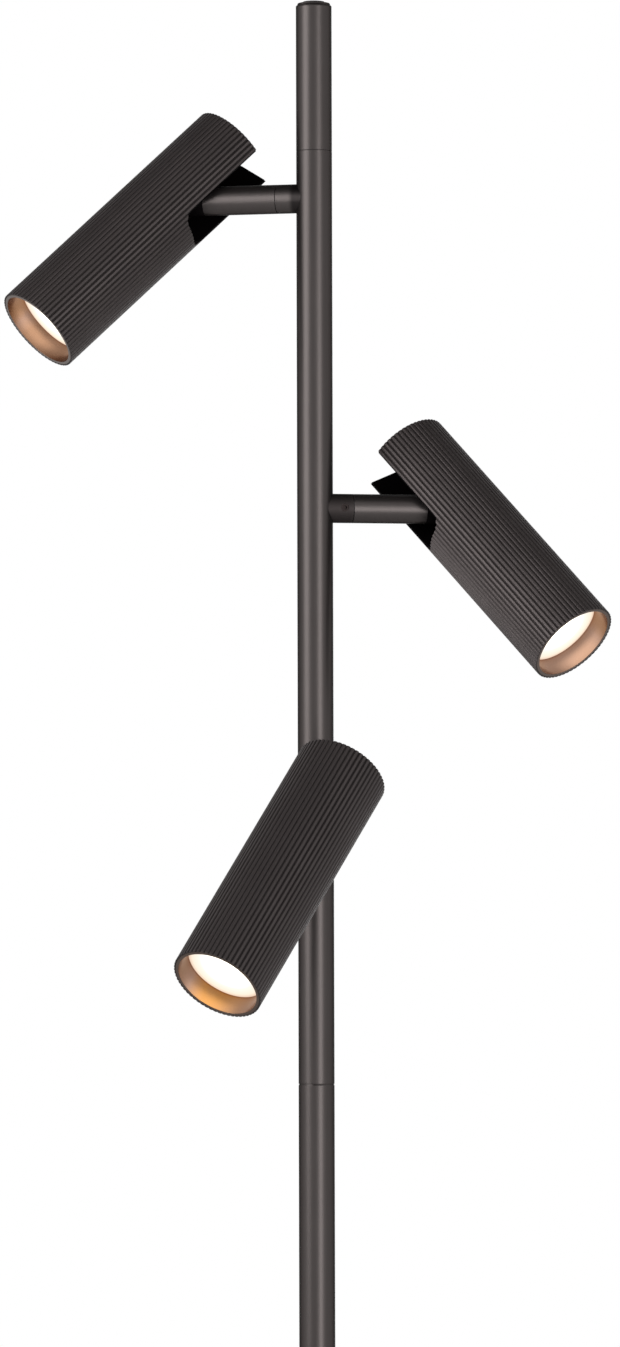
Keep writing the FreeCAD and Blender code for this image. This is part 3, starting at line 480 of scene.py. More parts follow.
class Finishes(Enum):
    """Every finish of the lamp."""

    POLE = Finish("satin_bronze_lacquer", BRONZE, 0.36, 0.85, 0.3, 0.1,
                  grain_detail=4.0, grain_stretch=(1.0, 1.0, 0.02), grain_share=0.6)
    # Collars 1 and 3 have painted shade only where they meet the pole.
    COLLAR = CollarLacquer("satin_bronze_collar", BRONZE, 0.36, 0.85, 0.3, 0.1)
    # The middle collar's lacquer: a copy with painted shade over most of its length.
    DARK_COLLAR = CollarLacquer("dark_bronze_collar", BRONZE, 0.55, 0.85, 0.3, 0.1,
                                painted_shade_colour=(0.036, 0.0305, 0.03), shade_until=20 * MM,
                                clear_from=29 * MM)
    FOOT = Finish("satin_bronze_foot", (0.06, 0.053, 0.051), 0.4, 0.8, 0.3, 0.3)
    SHELL = RibbedLacquer("ribbed_brown_lacquer", (0.05, 0.042, 0.0415), 0.45, 0.5, 0.3, 0.4)
    MOULDING = Finish("black_moulding", (0.0018, 0.0012, 0.0014), 0.6, 0.0, 0.02,
                      grain_scale=2500.0, grain_depth=0.03)
    KNUCKLE = Finish("black_lacquered_knuckle", (0.0025, 0.0018, 0.002), 0.5, 0.0, 0.02)
    COPPER = TurnedMetal("anodised_copper", (0.27, 0.16, 0.11), 0.24, 1.0)
    STEEL = Finish("zinc_plated_steel", (0.55, 0.55, 0.56), 0.35, 1.0, cloud_scale=120.0)
    BLACK_STEEL = Finish("black_oxide_steel", (0.018, 0.014, 0.0135), 0.4, 0.8, 0.3, 0.15)
    REFLECTOR = Finish("white_reflector", (0.8, 0.8, 0.79), 0.3, 0.0)
    LENS = LitLens("lit_lens", (0.12, 0.11, 0.1), 0.4, 0.0, 0.1)
    CERAMIC = Finish("unglazed_ceramic", (0.75, 0.74, 0.7), 0.7, 0.0, grain_depth=0.05)
    CAST_IRON = Finish("cast_iron", (0.05, 0.05, 0.052), 0.75, 0.4, grain_scale=400.0,
                       grain_depth=0.2)
    FOAM = Finish("foam_rubber", (0.01, 0.01, 0.01), 0.9, 0.0, 0.2, grain_scale=1500.0,
                  grain_depth=0.15)
    RUBBER = Finish("inlet_rubber", (0.012, 0.012, 0.012), 0.7, 0.0, 0.3)


# Meshes


def rounded(corners: Outline, radius: float, steps: int = 4) -> Outline:
    """Rounds the corners of a closed outline and adds a point beside each rounding.

    Args:
        corners: The outline's corners in order.
        radius: Radius of the roundings, less where an edge is short.
        steps: Segments of a rounding.

    Returns:
        The rounded outline.
    """
    made: Outline = []
    for index, corner in enumerate(corners):
        here = Vector(corner)
        sides = [Vector(corners[index - 1]) - here,
                 Vector(corners[(index + 1) % len(corners)]) - here]
        reach = min(radius / math.tan(sides[0].angle(sides[1]) / 2),
                    ROUNDED_SHARE * min(side.length for side in sides))
        start, finish = (here + side.normalized() * reach for side in sides)
        first, last = (
            point + side.normalized() * min(BESIDE_SHARE * side.length, reach / 2)
            for point, side in zip((start, finish), sides))
        bend = [start.lerp(here, share).lerp(here.lerp(finish, share), share)
                for share in (step / steps for step in range(steps + 1))]
        made += [tuple(point) for point in (first, *bend, last)]
    return made


def quarter_round(radius: float, height: float, bend: float, steps: int = 10) -> Outline:
    """A quarter round from the side of a form to its top, which it meets at this height."""
    return [(radius - bend * (1 - math.cos(a)), height - bend * (1 - math.sin(a)))
            for a in (math.radians(90 / steps * step) for step in range(steps + 1))]


def even_angles(count: int) -> list[float]:
    """Equal steps round a full turn."""
    return [math.tau * index / count for index in range(count)]


def turned(name: str, outline: Outline, angles: Sequence[float]) -> Mesh:
    """Turns a closed outline round the z axis.

    Args:
        name: The mesh's name.
        outline: Points (radius, height) in order, with the material on their left.
        angles: The angles of its columns.

    Returns:
        A closed mesh with its faces outwards.
    """
    columns = range(len(angles))
    vertices = []
    rows = []
    for radius, height in outline:
        first = len(vertices)
        if radius < AXIS_REACH:
            vertices.append((0.0, 0.0, height))
            rows.append([first] * (len(angles) + 1))
        else:
            vertices += [(radius * math.cos(a), radius * math.sin(a), height) for a in angles]
            rows.append([*(first + column for column in columns), first])
    faces = []
    for here, there in zip(rows, rows[1:] + rows[:1]):
        for c in columns:
            corners = dict.fromkeys((here[c], here[c + 1], there[c + 1], there[c]))
            if len(corners) > 2:
                faces.append(tuple(corners))
    mesh = bpy.data.meshes.new(name)
    mesh.from_pydata(vertices, [], faces)
    mesh.update()
    return mesh


def prism(name: str, outline: Outline, low: float, high: float, onto: Matrix = Matrix.Identity(4)) -> Mesh:
    """A straight prism.

    Args:
        name: The mesh's name.
        outline: Corners (x, y), anticlockwise.
        low: Its lower end along z.
        high: Its upper end along z.
        onto: Where the prism's own axes go.

    Returns:
        A closed mesh.
    """
    count = len(outline)
    vertices = [(x, y, low) for x, y in outline] + [(x, y, high) for x, y in outline]
    faces = [tuple(range(count - 1, -1, -1)), tuple(range(count, 2 * count))]
    faces += [(i, (i + 1) % count, (i + 1) % count + count, i + count) for i in range(count)]
    mesh = bpy.data.meshes.new(name)
    mesh.from_pydata(vertices, [], faces)
    mesh.transform(onto)
    mesh.update()
    return mesh


def round_outline(radius: float, steps: int = 64) -> Outline:
    """A circle as an outline."""
    return [(radius * math.cos(a), radius * math.sin(a)) for a in even_angles(steps)]


def as_object(data: ID) -> Object:
    """An object in the scene that shows a mesh, a light or a camera."""
    made = bpy.data.objects.new(data.name, data)
    bpy.context.scene.collection.objects.link(made)
    return made


def settled(worked: Object) -> Mesh:
    """The plain mesh that an object's modifiers give. The object is removed.

    Args:
        worked: An object with modifiers.

    Returns:
        The evaluated mesh.
    """
    graph = bpy.context.evaluated_depsgraph_get()
    graph.update()
    mesh = bpy.data.meshes.new_from_object(worked.evaluated_get(graph))
    mesh.name = worked.name
    bpy.data.objects.remove(worked)
    return mesh


def carved(mesh: Mesh, tools: Iterable[Mesh]) -> Mesh:
    """Cuts tools out of a mesh.

    Args:
        mesh: The mesh to work on.
        tools: Closed meshes.

    Returns:
        The cut mesh.
    """
    worked = as_object(mesh)
    cutters = [as_object(tool) for tool in tools]
    for cutter in cutters:
        modifier = worked.modifiers.new("cut", "BOOLEAN")
        modifier.operation = "DIFFERENCE"
        modifier.solver = "EXACT"
        modifier.object = cutter
    result = settled(worked)
    for cutter in cutters:
        bpy.data.objects.remove(cutter)
    return result


def eased(mesh: Mesh, width: float) -> Mesh:
    """Eases the sharp edges of a mesh.

    Args:
        mesh: The mesh to work on.
        width: Width of the bevels.

    Returns:
        The eased mesh.
    """
    worked = as_object(mesh)
    modifier = worked.modifiers.new("ease", "BEVEL")
    modifier.width = width
    modifier.segments = EASED_STEPS
    modifier.limit_method = "ANGLE"
    modifier.angle_limit = EASED_ANGLE
    return settled(worked)


def copy_of_node(node: str) -> Mesh:
    """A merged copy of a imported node's mesh, with its flat faces whole.

    Args:
        node: The node's name.

    Returns:
        The copy.
    """
    work = bmesh.new()
    work.from_mesh(frame["nodes"][node].data)
    bmesh.ops.remove_doubles(work, verts=work.verts, dist=MERGE_DISTANCE)
    bmesh.ops.dissolve_limit(work, angle_limit=FLAT_ANGLE, verts=work.verts, edges=work.edges)
    mesh = bpy.data.meshes.new(node + "_copy")
    work.to_mesh(mesh)
    work.free()
    return mesh


def finish_piece(mesh: Mesh, name: str, body: str, finish: Finishes, slot: str,
                 nodes: Sequence[str], onto: Matrix = Matrix.Identity(4), sharp: float = 35.0) -> Object:
    """Puts a mesh in its place as a piece of the lamp.

    Where each point is in the piece's own frame is kept for the finishes that follow it.

    Args:
        mesh: The mesh in its own frame. It is copied.
        name: The piece's name.
        body: The body that it rides on.
        finish: Its finish.
        slot: The record's material slot.
        nodes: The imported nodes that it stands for.
        onto: Where its own frame goes.
        sharp: Least angle in degrees between faces that shows as an edge.

    Returns:
        The finished piece.
    """
    own = mesh.copy()
    own.name = name
    layer = own.attributes.new(PLACE_LAYER, "FLOAT_VECTOR", "POINT")
    for item, vertex in zip(layer.data, own.vertices):
        item.vector = vertex.co
    own.transform(onto)
    own.materials.clear()
    own.materials.append(finish.value.material())
    own.polygons.foreach_set("material_index", [0] * len(own.polygons))
    own.shade_smooth()
    own.set_sharp_from_angle(angle=math.radians(sharp))
    piece = as_object(own)
    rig.ride(piece, body)
    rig.slot(piece, slot)
    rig.replaces(piece, *nodes)
    return piece


# Frames of the moving parts


@dataclass(frozen=True)
class Limb:
    """One arm with its spotlight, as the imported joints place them."""

    number: str
    collar: Matrix
    arm: Matrix
    head: Matrix

    @classmethod
    def read(cls, number: str, pivot_place: float) -> "Limb":
        """Reads the frames of an arm from the joints.

        Args:
            number: The arm's number.
            pivot_place: Rear rim of the spotlight to its hinge.

        Returns:
            The limb.
        """
        joints = {joint["name"]: joint for joint in frame["joints"]}
        swivel = joints[f"arm_{number}_swivel"]
        tilt = joints[f"head_{number}_tilt"]
        outward = Vector(swivel["axis"])
        hinge = Vector(tilt["axis"])
        down = Vector((0, 0, -1))
        forward = Quaternion(hinge, -math.radians(tilt["range_deg"][0])) @ outward
        start = Vector(swivel["pos_m"])
        rear = Vector(tilt["pos_m"]) - forward * pivot_place
        return cls(number, cls._axes(down, outward.cross(down), outward, start),
                   cls._axes(hinge.cross(outward), hinge, outward, start),
                   cls._axes(hinge.cross(forward), hinge, forward, rear))

    @staticmethod
    def _axes(x: Vector, y: Vector, z: Vector, origin: Vector) -> Matrix:
        """The matrix of a frame with these axes."""
        matrix = Matrix((x, y, z)).transposed().to_4x4()
        matrix.translation = origin
        return matrix


# Ribs, cut by Geometry Nodes


class RibTree:
    """A Geometry Nodes tree that cuts equal lengthwise grooves into a turned shell."""

    SIZES = ("Rib Count", "Outside Radius", "Groove Depth", "Groove Width", "Least Radius")

    def __init__(self) -> None:
        """Builds the tree."""
        self.tree = bpy.data.node_groups.new("lengthwise_ribs", "GeometryNodeTree")
        sides = self.tree.interface
        kinds = {"Geometry": "NodeSocketGeometry", "Finish": "NodeSocketMaterial",
                 **dict.fromkeys(self.SIZES, "NodeSocketFloat")}
        self.identifiers = {
            name: sides.new_socket(name, in_out="INPUT", socket_type=kind).identifier
            for name, kind in kinds.items()}
        sides.new_socket("Geometry", in_out="OUTPUT", socket_type="NodeSocketGeometry")
        canvas = Canvas(self.tree)
        given = canvas.add("NodeGroupInput")
        count, outside, depth, width, least = (canvas.wire(given, name) for name in self.SIZES)
        place = canvas.add("GeometryNodeInputPosition").outputs[0]
        parts = canvas.add("ShaderNodeSeparateXYZ", {0: place})
        x, y, z = (canvas.wire(parts, axis) for axis in range(3))
        turn_share = canvas.math("ARCTAN2", y, x) / math.tau * count
        over = canvas.math("FLOORED_MODULO", turn_share + 0.5, 1.0)
        distance = canvas.math("ABSOLUTE", over - 0.5) / count * math.tau * outside
        groove = canvas.smooth(distance, 0.0, width / 2, depth, 0.0)
        radius = canvas.from_axis(place)
        wanted = canvas.math("MINIMUM", radius, outside - groove)
        is_outer = canvas.math("GREATER_THAN", radius, least)
        share = wanted / radius * is_outer + canvas.math("SUBTRACT", 1.0, is_outer)
        moved = canvas.add("ShaderNodeCombineXYZ", {0: x * share, 1: y * share, 2: z})
        placed = canvas.add("GeometryNodeSetPosition", {
            0: given.outputs["Geometry"], "Position": moved.outputs[0]})
        real = canvas.add("GeometryNodeRealizeInstances", {0: placed.outputs[0]})
        dressed = canvas.add("GeometryNodeSetMaterial", {
            0: real.outputs[0], "Material": given.outputs["Finish"]})
        canvas.add("NodeGroupOutput", {0: dressed.outputs[0]})

    def apply(self, mesh: Mesh, values: dict[str, Any]) -> Mesh:
        """Cuts the ribs into a mesh.

        Args:
            mesh: The turned shell.
            values: The tree's inputs by name.

        Returns:
            The ribbed mesh.
        """
        worked = as_object(mesh)
        modifier = worked.modifiers.new("ribs", "NODES")
        modifier.node_group = self.tree
        for name, value in values.items():
            modifier[self.identifiers[name]] = value
        return settled(worked)


# Sub-assemblies


@dataclass
class Pole:
    """The four tubes, the seams between them and the cap."""

    radius: float = 11 * MM
    wall: float = 1.2 * MM
    foot: float = 19 * MM
    lower_seam: float = 430 * MM
    upper_seam: float = 834.9 * MM
    top_seam: float = 1407.5 * MM
    top: float = 1500 * MM
    cap_foot: float = 1496.6 * MM
    plug_length: float = 9 * MM
    plug_wall: float = 1.5 * MM
    plug_play: float = 0.05 * MM
    shoulder_height: float = 1497.4 * MM
    shoulder_bend: float = 0.6 * MM
    step_foot: tuple[float, float] = (10.35 * MM, 1497.45 * MM)
    step_radius: float = 9.9 * MM
    step_height: float = 1498.9 * MM
    button_radius: float = 6.6 * MM
    button_middle: float = 3.3 * MM
    button_bend: float = 0.3 * MM
    seam_gap: float = 0.1 * MM
    groove: float = 0.35 * MM
    upper_groove: float = 1.1 * MM
    groove_slope: float = 0.36
    edge: float = 0.12 * MM
    sharp: float = 20.0
    steps: int = 128

    def build(self) -> None:
        """Builds and dresses the pole."""
        half_gap = self.seam_gap / 2
        grooves = (self.groove, self.upper_groove, self.groove, 0.0)
        seams = (self.lower_seam, self.upper_seam, self.top_seam)
        lows = (self.foot, *(seam + half_gap for seam in seams))
        highs = (*(seam - half_gap for seam in seams), self.cap_foot)
        nodes = ("lower_tube", "middle_tube", "upper_tube", "top_tube")
        for node, low, high, groove in zip(nodes, lows, highs, grooves):
            finish_piece(self._tube(low, high, groove), "pole_" + node, "root", Finishes.POLE,
                         "pole_finish", [node], sharp=self.sharp)
        self._cap()

    def _tube(self, low: float, high: float, groove: float) -> Mesh:
        """A tube with slightly eased ends.

        Args:
            low: Its lower end.
            high: Its upper end.
            groove: Height of the chamfer that makes a groove at its upper end, or 0.

        Returns:
            The tube.
        """
        inside = self.radius - self.wall
        upper = [(self.radius, high)]
        if groove:
            narrowed = self.radius - groove * self.groove_slope
            upper = [(self.radius, high - groove), (narrowed, high)]
        corners = [(inside, low), (self.radius, low), *upper, (inside, high)]
        return turned("tube", rounded(corners, self.edge), even_angles(self.steps))

    def _cap(self) -> None:
        """The cap that closes the pole in three steps, with its plug."""
        plug = self.radius - self.wall - self.plug_play
        bore = plug - self.plug_wall
        end = self.cap_foot - self.plug_length
        outline = [(bore, end), (plug, end), (plug, self.cap_foot)]
        outline += quarter_round(self.radius, self.shoulder_height, self.shoulder_bend)
        outline.append(self.step_foot)
        outline += quarter_round(self.step_radius, self.step_height, self.button_bend)
        outline += quarter_round(self.button_radius, self.top, self.button_bend)
        outline += [(self.button_middle, self.top), (0.0, self.top), (0.0, self.cap_foot),
                    (bore, self.cap_foot)]
        mesh = turned("cap", outline, even_angles(self.steps))
        finish_piece(mesh, "pole_cap", "root", Finishes.POLE, "pole_finish", ["top_cap"])


@dataclass
class Foot:
    """The cover of the foot, the collar round the pole and the lead's inlet."""

    radius: float = 130 * MM
    height: float = 16 * MM
    lift: float = 1 * MM
    wall: float = 1.2 * MM
    edge_radius: float = 5 * MM
    side_margin: float = 1 * MM
    face_share: float = 0.93
    hole: float = 5.1 * MM
    flange_radius: float = 19 * MM
    flange_height: float = 14 * MM
    flange_edge: float = 0.5 * MM
    flange_edge_steps: int = 5
    flange_floor: float = 3 * MM
    socket_radius: float = 11.05 * MM
    inlet_radius: float = 5.05 * MM
    inlet_height: float = 7.05 * MM
    inlet_depth: float = 6 * MM
    drill_length: float = 20 * MM
    steps: int = 192

    def build(self) -> None:
        """Builds and dresses the foot."""
        self._cover()
        self._flange()

    def _cover(self) -> None:
        """The sheet cover with its rounded edge and the hole for the inlet."""
        inside = self.radius - self.wall
        under = self.height - self.wall
        outline = [(inside, self.lift), (self.radius, self.lift),
                   (self.radius, self.height - self.edge_radius - self.side_margin)]
        outline += quarter_round(self.radius, self.height, self.edge_radius)
        outline += [(self.face_share * self.radius, self.height), (self.hole, self.height),
                    (self.hole, under)]
        outline += quarter_round(inside, under, self.edge_radius - self.wall)[::-1]
        mesh = turned("cover", outline, even_angles(self.steps))
        inlet = (Matrix.Translation((0, self.radius - self.inlet_depth, self.inlet_height))
                 @ Matrix.Rotation(-math.pi / 2, 4, "X"))
        drill = prism("inlet_drill", round_outline(self.inlet_radius), 0.0, self.drill_length, inlet)
        finish_piece(carved(mesh, [drill]), "foot_cover", "root", Finishes.FOOT, "foot_finish",
                     ["base_cover"])

    def _flange(self) -> None:
        """The collar in which the pole stands."""
        top = self.height + self.flange_height
        floor = self.height + self.flange_floor
        corners = [(self.hole, self.height), (self.flange_radius, self.height),
                   (self.flange_radius, top), (self.socket_radius, top),
                   (self.socket_radius, floor), (self.hole, floor)]
        outline = rounded(corners, self.flange_edge, self.flange_edge_steps)
        mesh = turned("flange", outline, even_angles(self.steps))
        finish_piece(mesh, "foot_collar", "root", Finishes.FOOT, "foot_finish", ["base_flange"])


@dataclass
class Collar:
    """A short ring on the pole, in which an arm swivels."""

    radius: float = 8.95 * MM
    end: float = 22.8 * MM
    edge: float = 0.3 * MM
    bore: float = 7 * MM
    web: float = 14 * MM
    hole: float = 4.95 * MM
    start: float = 5.5 * MM
    saddle: float = 11.05 * MM
    saddle_reach: float = 20 * MM
    saddle_steps: int = 128
    grub_place: float = 17 * MM
    grub_hole: float = 2.5 * MM
    drill_length: float = 12 * MM
    steps: int = 96

    def mesh(self) -> Mesh:
        """Makes the collar in its own frame.

        Returns:
            The collar.
        """
        corners = [(self.hole, self.start), (self.radius, self.start), (self.radius, self.end),
                   (self.bore, self.end), (self.bore, self.web), (self.hole, self.web)]
        ring = turned("collar", rounded(corners, self.edge), even_angles(self.steps))
        across = Matrix.Rotation(math.pi / 2, 4, "Y")
        sideways = Matrix.Rotation(math.pi / 2, 4, "X")
        saddle = prism("saddle", round_outline(self.saddle, self.saddle_steps),
                       -self.saddle_reach, self.saddle_reach, across)
        drill = prism("drill", round_outline(self.grub_hole), 0.0, self.drill_length,
                      Matrix.Translation((0, 0, self.grub_place)) @ sideways)
        return carved(ring, [saddle, drill])

    def build(self, limbs: Sequence[Limb]) -> list[Object]:
        """Builds and dresses the collars.

        Args:
            limbs: The arms with their frames.

        Returns:
            The collars.
        """
        mesh = self.mesh()
        # The middle collar takes the copy with painted shade.
        finishes = (Finishes.COLLAR, Finishes.DARK_COLLAR, Finishes.COLLAR)
        return [finish_piece(mesh, "swivel_collar_" + limb.number, "root", finish,
                             "pole_finish", ["collar_" + limb.number], limb.collar)
                for limb, finish in zip(limbs, finishes)]


@dataclass
class Arm:
    """The tube of an arm and the knuckle at its end."""

    radius: float = 8.95 * MM
    wall: float = 1.2 * MM
    start: float = 23.1 * MM
    end: float = 68.9 * MM
    edge: float = 0.12 * MM
    knuckle_edge: float = 0.4 * MM
    steps: int = 96

    def build(self, limbs: Sequence[Limb]) -> list[Object]:
        """Builds and dresses the arms.

        Args:
            limbs: The arms with their frames.

        Returns:
            The sleeves of the arms.
        """
        sleeves = []
        inside = self.radius - self.wall
        corners = [(inside, self.start), (self.radius, self.start), (self.radius, self.end),
                   (inside, self.end)]
        mesh = turned("arm", rounded(corners, self.edge), even_angles(self.steps))
        for limb in limbs:
            body = "arm_" + limb.number
            sleeves.append(finish_piece(mesh, "arm_sleeve_" + limb.number, body, Finishes.POLE,
                                        "pole_finish", ["arm_tube_" + limb.number], limb.arm))
            node = "knuckle_" + limb.number
            knuckle = eased(copy_of_node(node), self.knuckle_edge)
            finish_piece(knuckle, "hinge_knuckle_" + limb.number, body, Finishes.KNUCKLE,
                         "knuckle_finish", [node])
        return sleeves


@dataclass
class Spotlight:
    """A ribbed shell with its slot, rear housing, trim ring and lit lens."""

    radius: float = 28.5 * MM
    length: float = 176 * MM
    wall: float = 2.2 * MM
    pivot_place: float = 52.5 * MM
    rib_count: int = 60
    rib_depth: float = 0.65 * MM
    groove_width: float = 1.9 * MM
    groove_shares: Sequence[float] = (0.14, 0.3, 0.46, 0.62, 0.78, 0.9, 1.0)
    rim_edge: float = 0.2 * MM
    rim_edge_steps: int = 3
    shell_sharp: float = 40.0
    slot_half: float = 15 * MM
    slot_end: float = 66 * MM
    slot_corner: float = 8 * MM
    slot_corner_steps: int = 12
    slot_overrun: float = 2 * MM
    cutter_overrun: float = 3 * MM
    housing_edge: float = 0.3 * MM
    lamp_face: float = 163.3 * MM
    lens_radius: float = 25 * MM
    lens_thickness: float = 2 * MM
    lens_edge: float = 0.3 * MM
    lens_margin: float = 2 * MM
    trim_outer: float = 26.2 * MM
    trim_inner: float = 25.15 * MM
    trim_mouth: float = 25.6 * MM
    lip_radius: float = 27.4 * MM
    lip_rear: float = 175.3 * MM
    lip_front: float = 175.9 * MM
    lip_play: float = 0.05 * MM
    trim_rear: float = 159.3 * MM
    trim_edge: float = 0.15 * MM
    steps: int = 128

    def build(self, limbs: Sequence[Limb]) -> list[Object]:
        """Builds and dresses the spotlights.

        Args:
            limbs: The arms with their frames.

        Returns:
            The ribbed shells.
        """
        shells = []
        shell, trim, lens = self._shell(), self._trim(), self._lens()
        for limb in limbs:
            number = limb.number
            body = "head_" + number
            shells.append(finish_piece(
                shell, "ribbed_shell_" + number, body, Finishes.SHELL, "shell_finish",
                ["head_shell_" + number], limb.head, self.shell_sharp))
            finish_piece(trim, "mouth_ring_" + number, body, Finishes.COPPER, "copper_trim",
                         ["trim_ring_" + number], limb.head)
            finish_piece(lens, "lit_disc_" + number, body, Finishes.LENS, "lamp_lens",
                         ["bulb_lens_" + number], limb.head)
            node = "rear_housing_" + number
            housing = eased(copy_of_node(node), self.housing_edge)
            finish_piece(housing, "hinge_housing_" + number, body, Finishes.MOULDING,
                         "black_moulding", [node])
        return shells

    def _rib_angles(self) -> list[float]:
        """Columns that follow the flanks and crests of the ribs.

        Returns:
            Their angles.
        """
        pitch = math.tau / self.rib_count
        half_pitch = pitch * self.radius / 2
        half_groove = self.groove_width / 2
        places = [0.0, *(share * half_groove for share in self.groove_shares),
                  half_groove + (half_pitch - half_groove) / 2]
        offsets = [-place for place in places[:0:-1]] + places + [half_pitch]
        return [index * pitch + offset / self.radius
                for index in range(self.rib_count) for offset in offsets]

    def _shell(self) -> Mesh:
        """Makes the shell in its own frame, with a step in its mouth for the ring's lip.

        Returns:
            The shell.
        """
        inside = self.radius - self.wall
        seat = self.lip_radius + self.lip_play
        step = self.lip_rear - self.lip_play
        corners = [(inside, 0.0), (self.radius, 0.0), (self.radius, self.length),
                   (seat, self.length), (seat, step), (inside, step)]
        outline = rounded(corners, self.rim_edge, self.rim_edge_steps)
        ring = turned("shell", outline, self._rib_angles())
        ribbed = RibTree().apply(ring, {
            "Rib Count": float(self.rib_count), "Outside Radius": self.radius,
            "Groove Depth": self.rib_depth, "Groove Width": self.groove_width,
            "Least Radius": (self.radius - self.rib_depth + seat) / 2,
            "Finish": Finishes.SHELL.value.material()})
        turned_up = Matrix(((0, 0, 1, 0), (1, 0, 0, 0), (0, 1, 0, 0), (0, 0, 0, 1)))
        cutter = prism("slot", self._slot_outline(), 0.0, self.radius + self.cutter_overrun, turned_up)
        return carved(ribbed, [cutter])

    def _slot_outline(self) -> Outline:
        """Draws the slot seen square to it.

        Returns:
            Points with x across the slot and y along the spotlight.
        """
        start = -self.slot_overrun
        right = quarter_round(self.slot_half, self.slot_end, self.slot_corner, self.slot_corner_steps)
        left = [(-x, y) for x, y in reversed(right)]
        return [(-self.slot_half, start), (self.slot_half, start)] + right + left

    def _trim(self) -> Mesh:
        """Makes the ring in the mouth, with a lip that covers the shell's end.

        Returns:
            The ring in its own frame.
        """
        corners = [(self.trim_inner, self.trim_rear), (self.trim_outer, self.trim_rear),
                   (self.trim_outer, self.lip_rear), (self.lip_radius, self.lip_rear),
                   (self.lip_radius, self.lip_front), (self.trim_mouth, self.lip_front),
                   (self.trim_inner, self.lamp_face)]
        return turned("trim", rounded(corners, self.trim_edge), even_angles(self.steps))

    def _lens(self) -> Mesh:
        """Makes the front disc of the lamp.

        Returns:
            The disc in its own frame.
        """
        face = self.lamp_face
        rear = face - self.lens_thickness
        radius = self.lens_radius
        outline = [(0.0, rear), (radius, rear), (radius, face - self.lens_edge),
                   (radius - self.lens_edge, face), (radius - self.lens_margin, face),
                   (0.5 * radius, face), (0.0, face)]
        return turned("lens", outline, even_angles(self.steps))


class CarriedNodes:
    """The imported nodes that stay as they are. They are steel, apart from these."""

    FINISHES = {
        "base_pad": Finishes.FOAM, "base_weight": Finishes.CAST_IRON,
        "cable_grommet": Finishes.RUBBER, "tube_couplers": Finishes.POLE,
        "grub_screws": Finishes.BLACK_STEEL, "hinge_screws": Finishes.BLACK_STEEL,
        "friction_washers": Finishes.MOULDING, "lamp_holder": Finishes.CERAMIC,
        "bulb_body": Finishes.REFLECTOR}

    def dress(self) -> int:
        """Gives every shown node its material.

        Returns:
            How many nodes were dressed.
        """
        shown = [node for node in frame["nodes"].items() if not node[1].hide_render]
        for name, node in shown:
            kind = name.rstrip("0123456789").rstrip("_")
            finish = self.FINISHES.get(kind, Finishes.STEEL)
            node.data.materials.clear()
            node.data.materials.append(finish.value.material())
        return len(shown)


# Studio


def aimed(place: Sequence[float], forward: Vector, roll: float) -> Matrix:
    """Where a camera or light stands that looks forward, rolled by some degrees."""
    aim = forward.to_track_quat("-Z", "Y").to_matrix().to_4x4()
    return Matrix.Translation(place) @ aim @ Matrix.Rotation(math.radians(roll), 4, "Z")


@dataclass(frozen=True)
class Softbox:
    """A soft rectangular light that stands upright round the lamp and faces it.

    The bearing is in degrees from the camera's side of the lamp, positive to its right. The
    lean is the degrees that the light's upper end leans to the left, seen from the front.
    """

    name: str
    bearing: float
    distance: float
    height: float
    width: float
    length: float
    lean: float
    power: float

    def build(self, front: float, lit: Sequence[Object] = ()) -> None:
        """Sets the light up.

        Args:
            front: The angle in the floor's plane of the way to the camera.
            lit: The pieces that it lights, or none where it lights all.
        """
        data = bpy.data.lights.new(self.name, "AREA")
        data.shape = "RECTANGLE"
        data.size, data.size_y = self.width, self.length
        data.energy = self.power
        light = as_object(data)
        angle = front + math.radians(self.bearing)
        place = Vector((self.distance * math.cos(angle), self.distance * math.sin(angle), self.height))
        light.matrix_world = aimed(place, Vector((-place.x, -place.y, 0)), self.lean)
        light.visible_camera = False
        if lit:
            receivers = bpy.data.collections.new("lit_by_" + self.name)
            for piece in lit:
                receivers.objects.link(piece)
            light.light_linking.receiver_collection = receivers


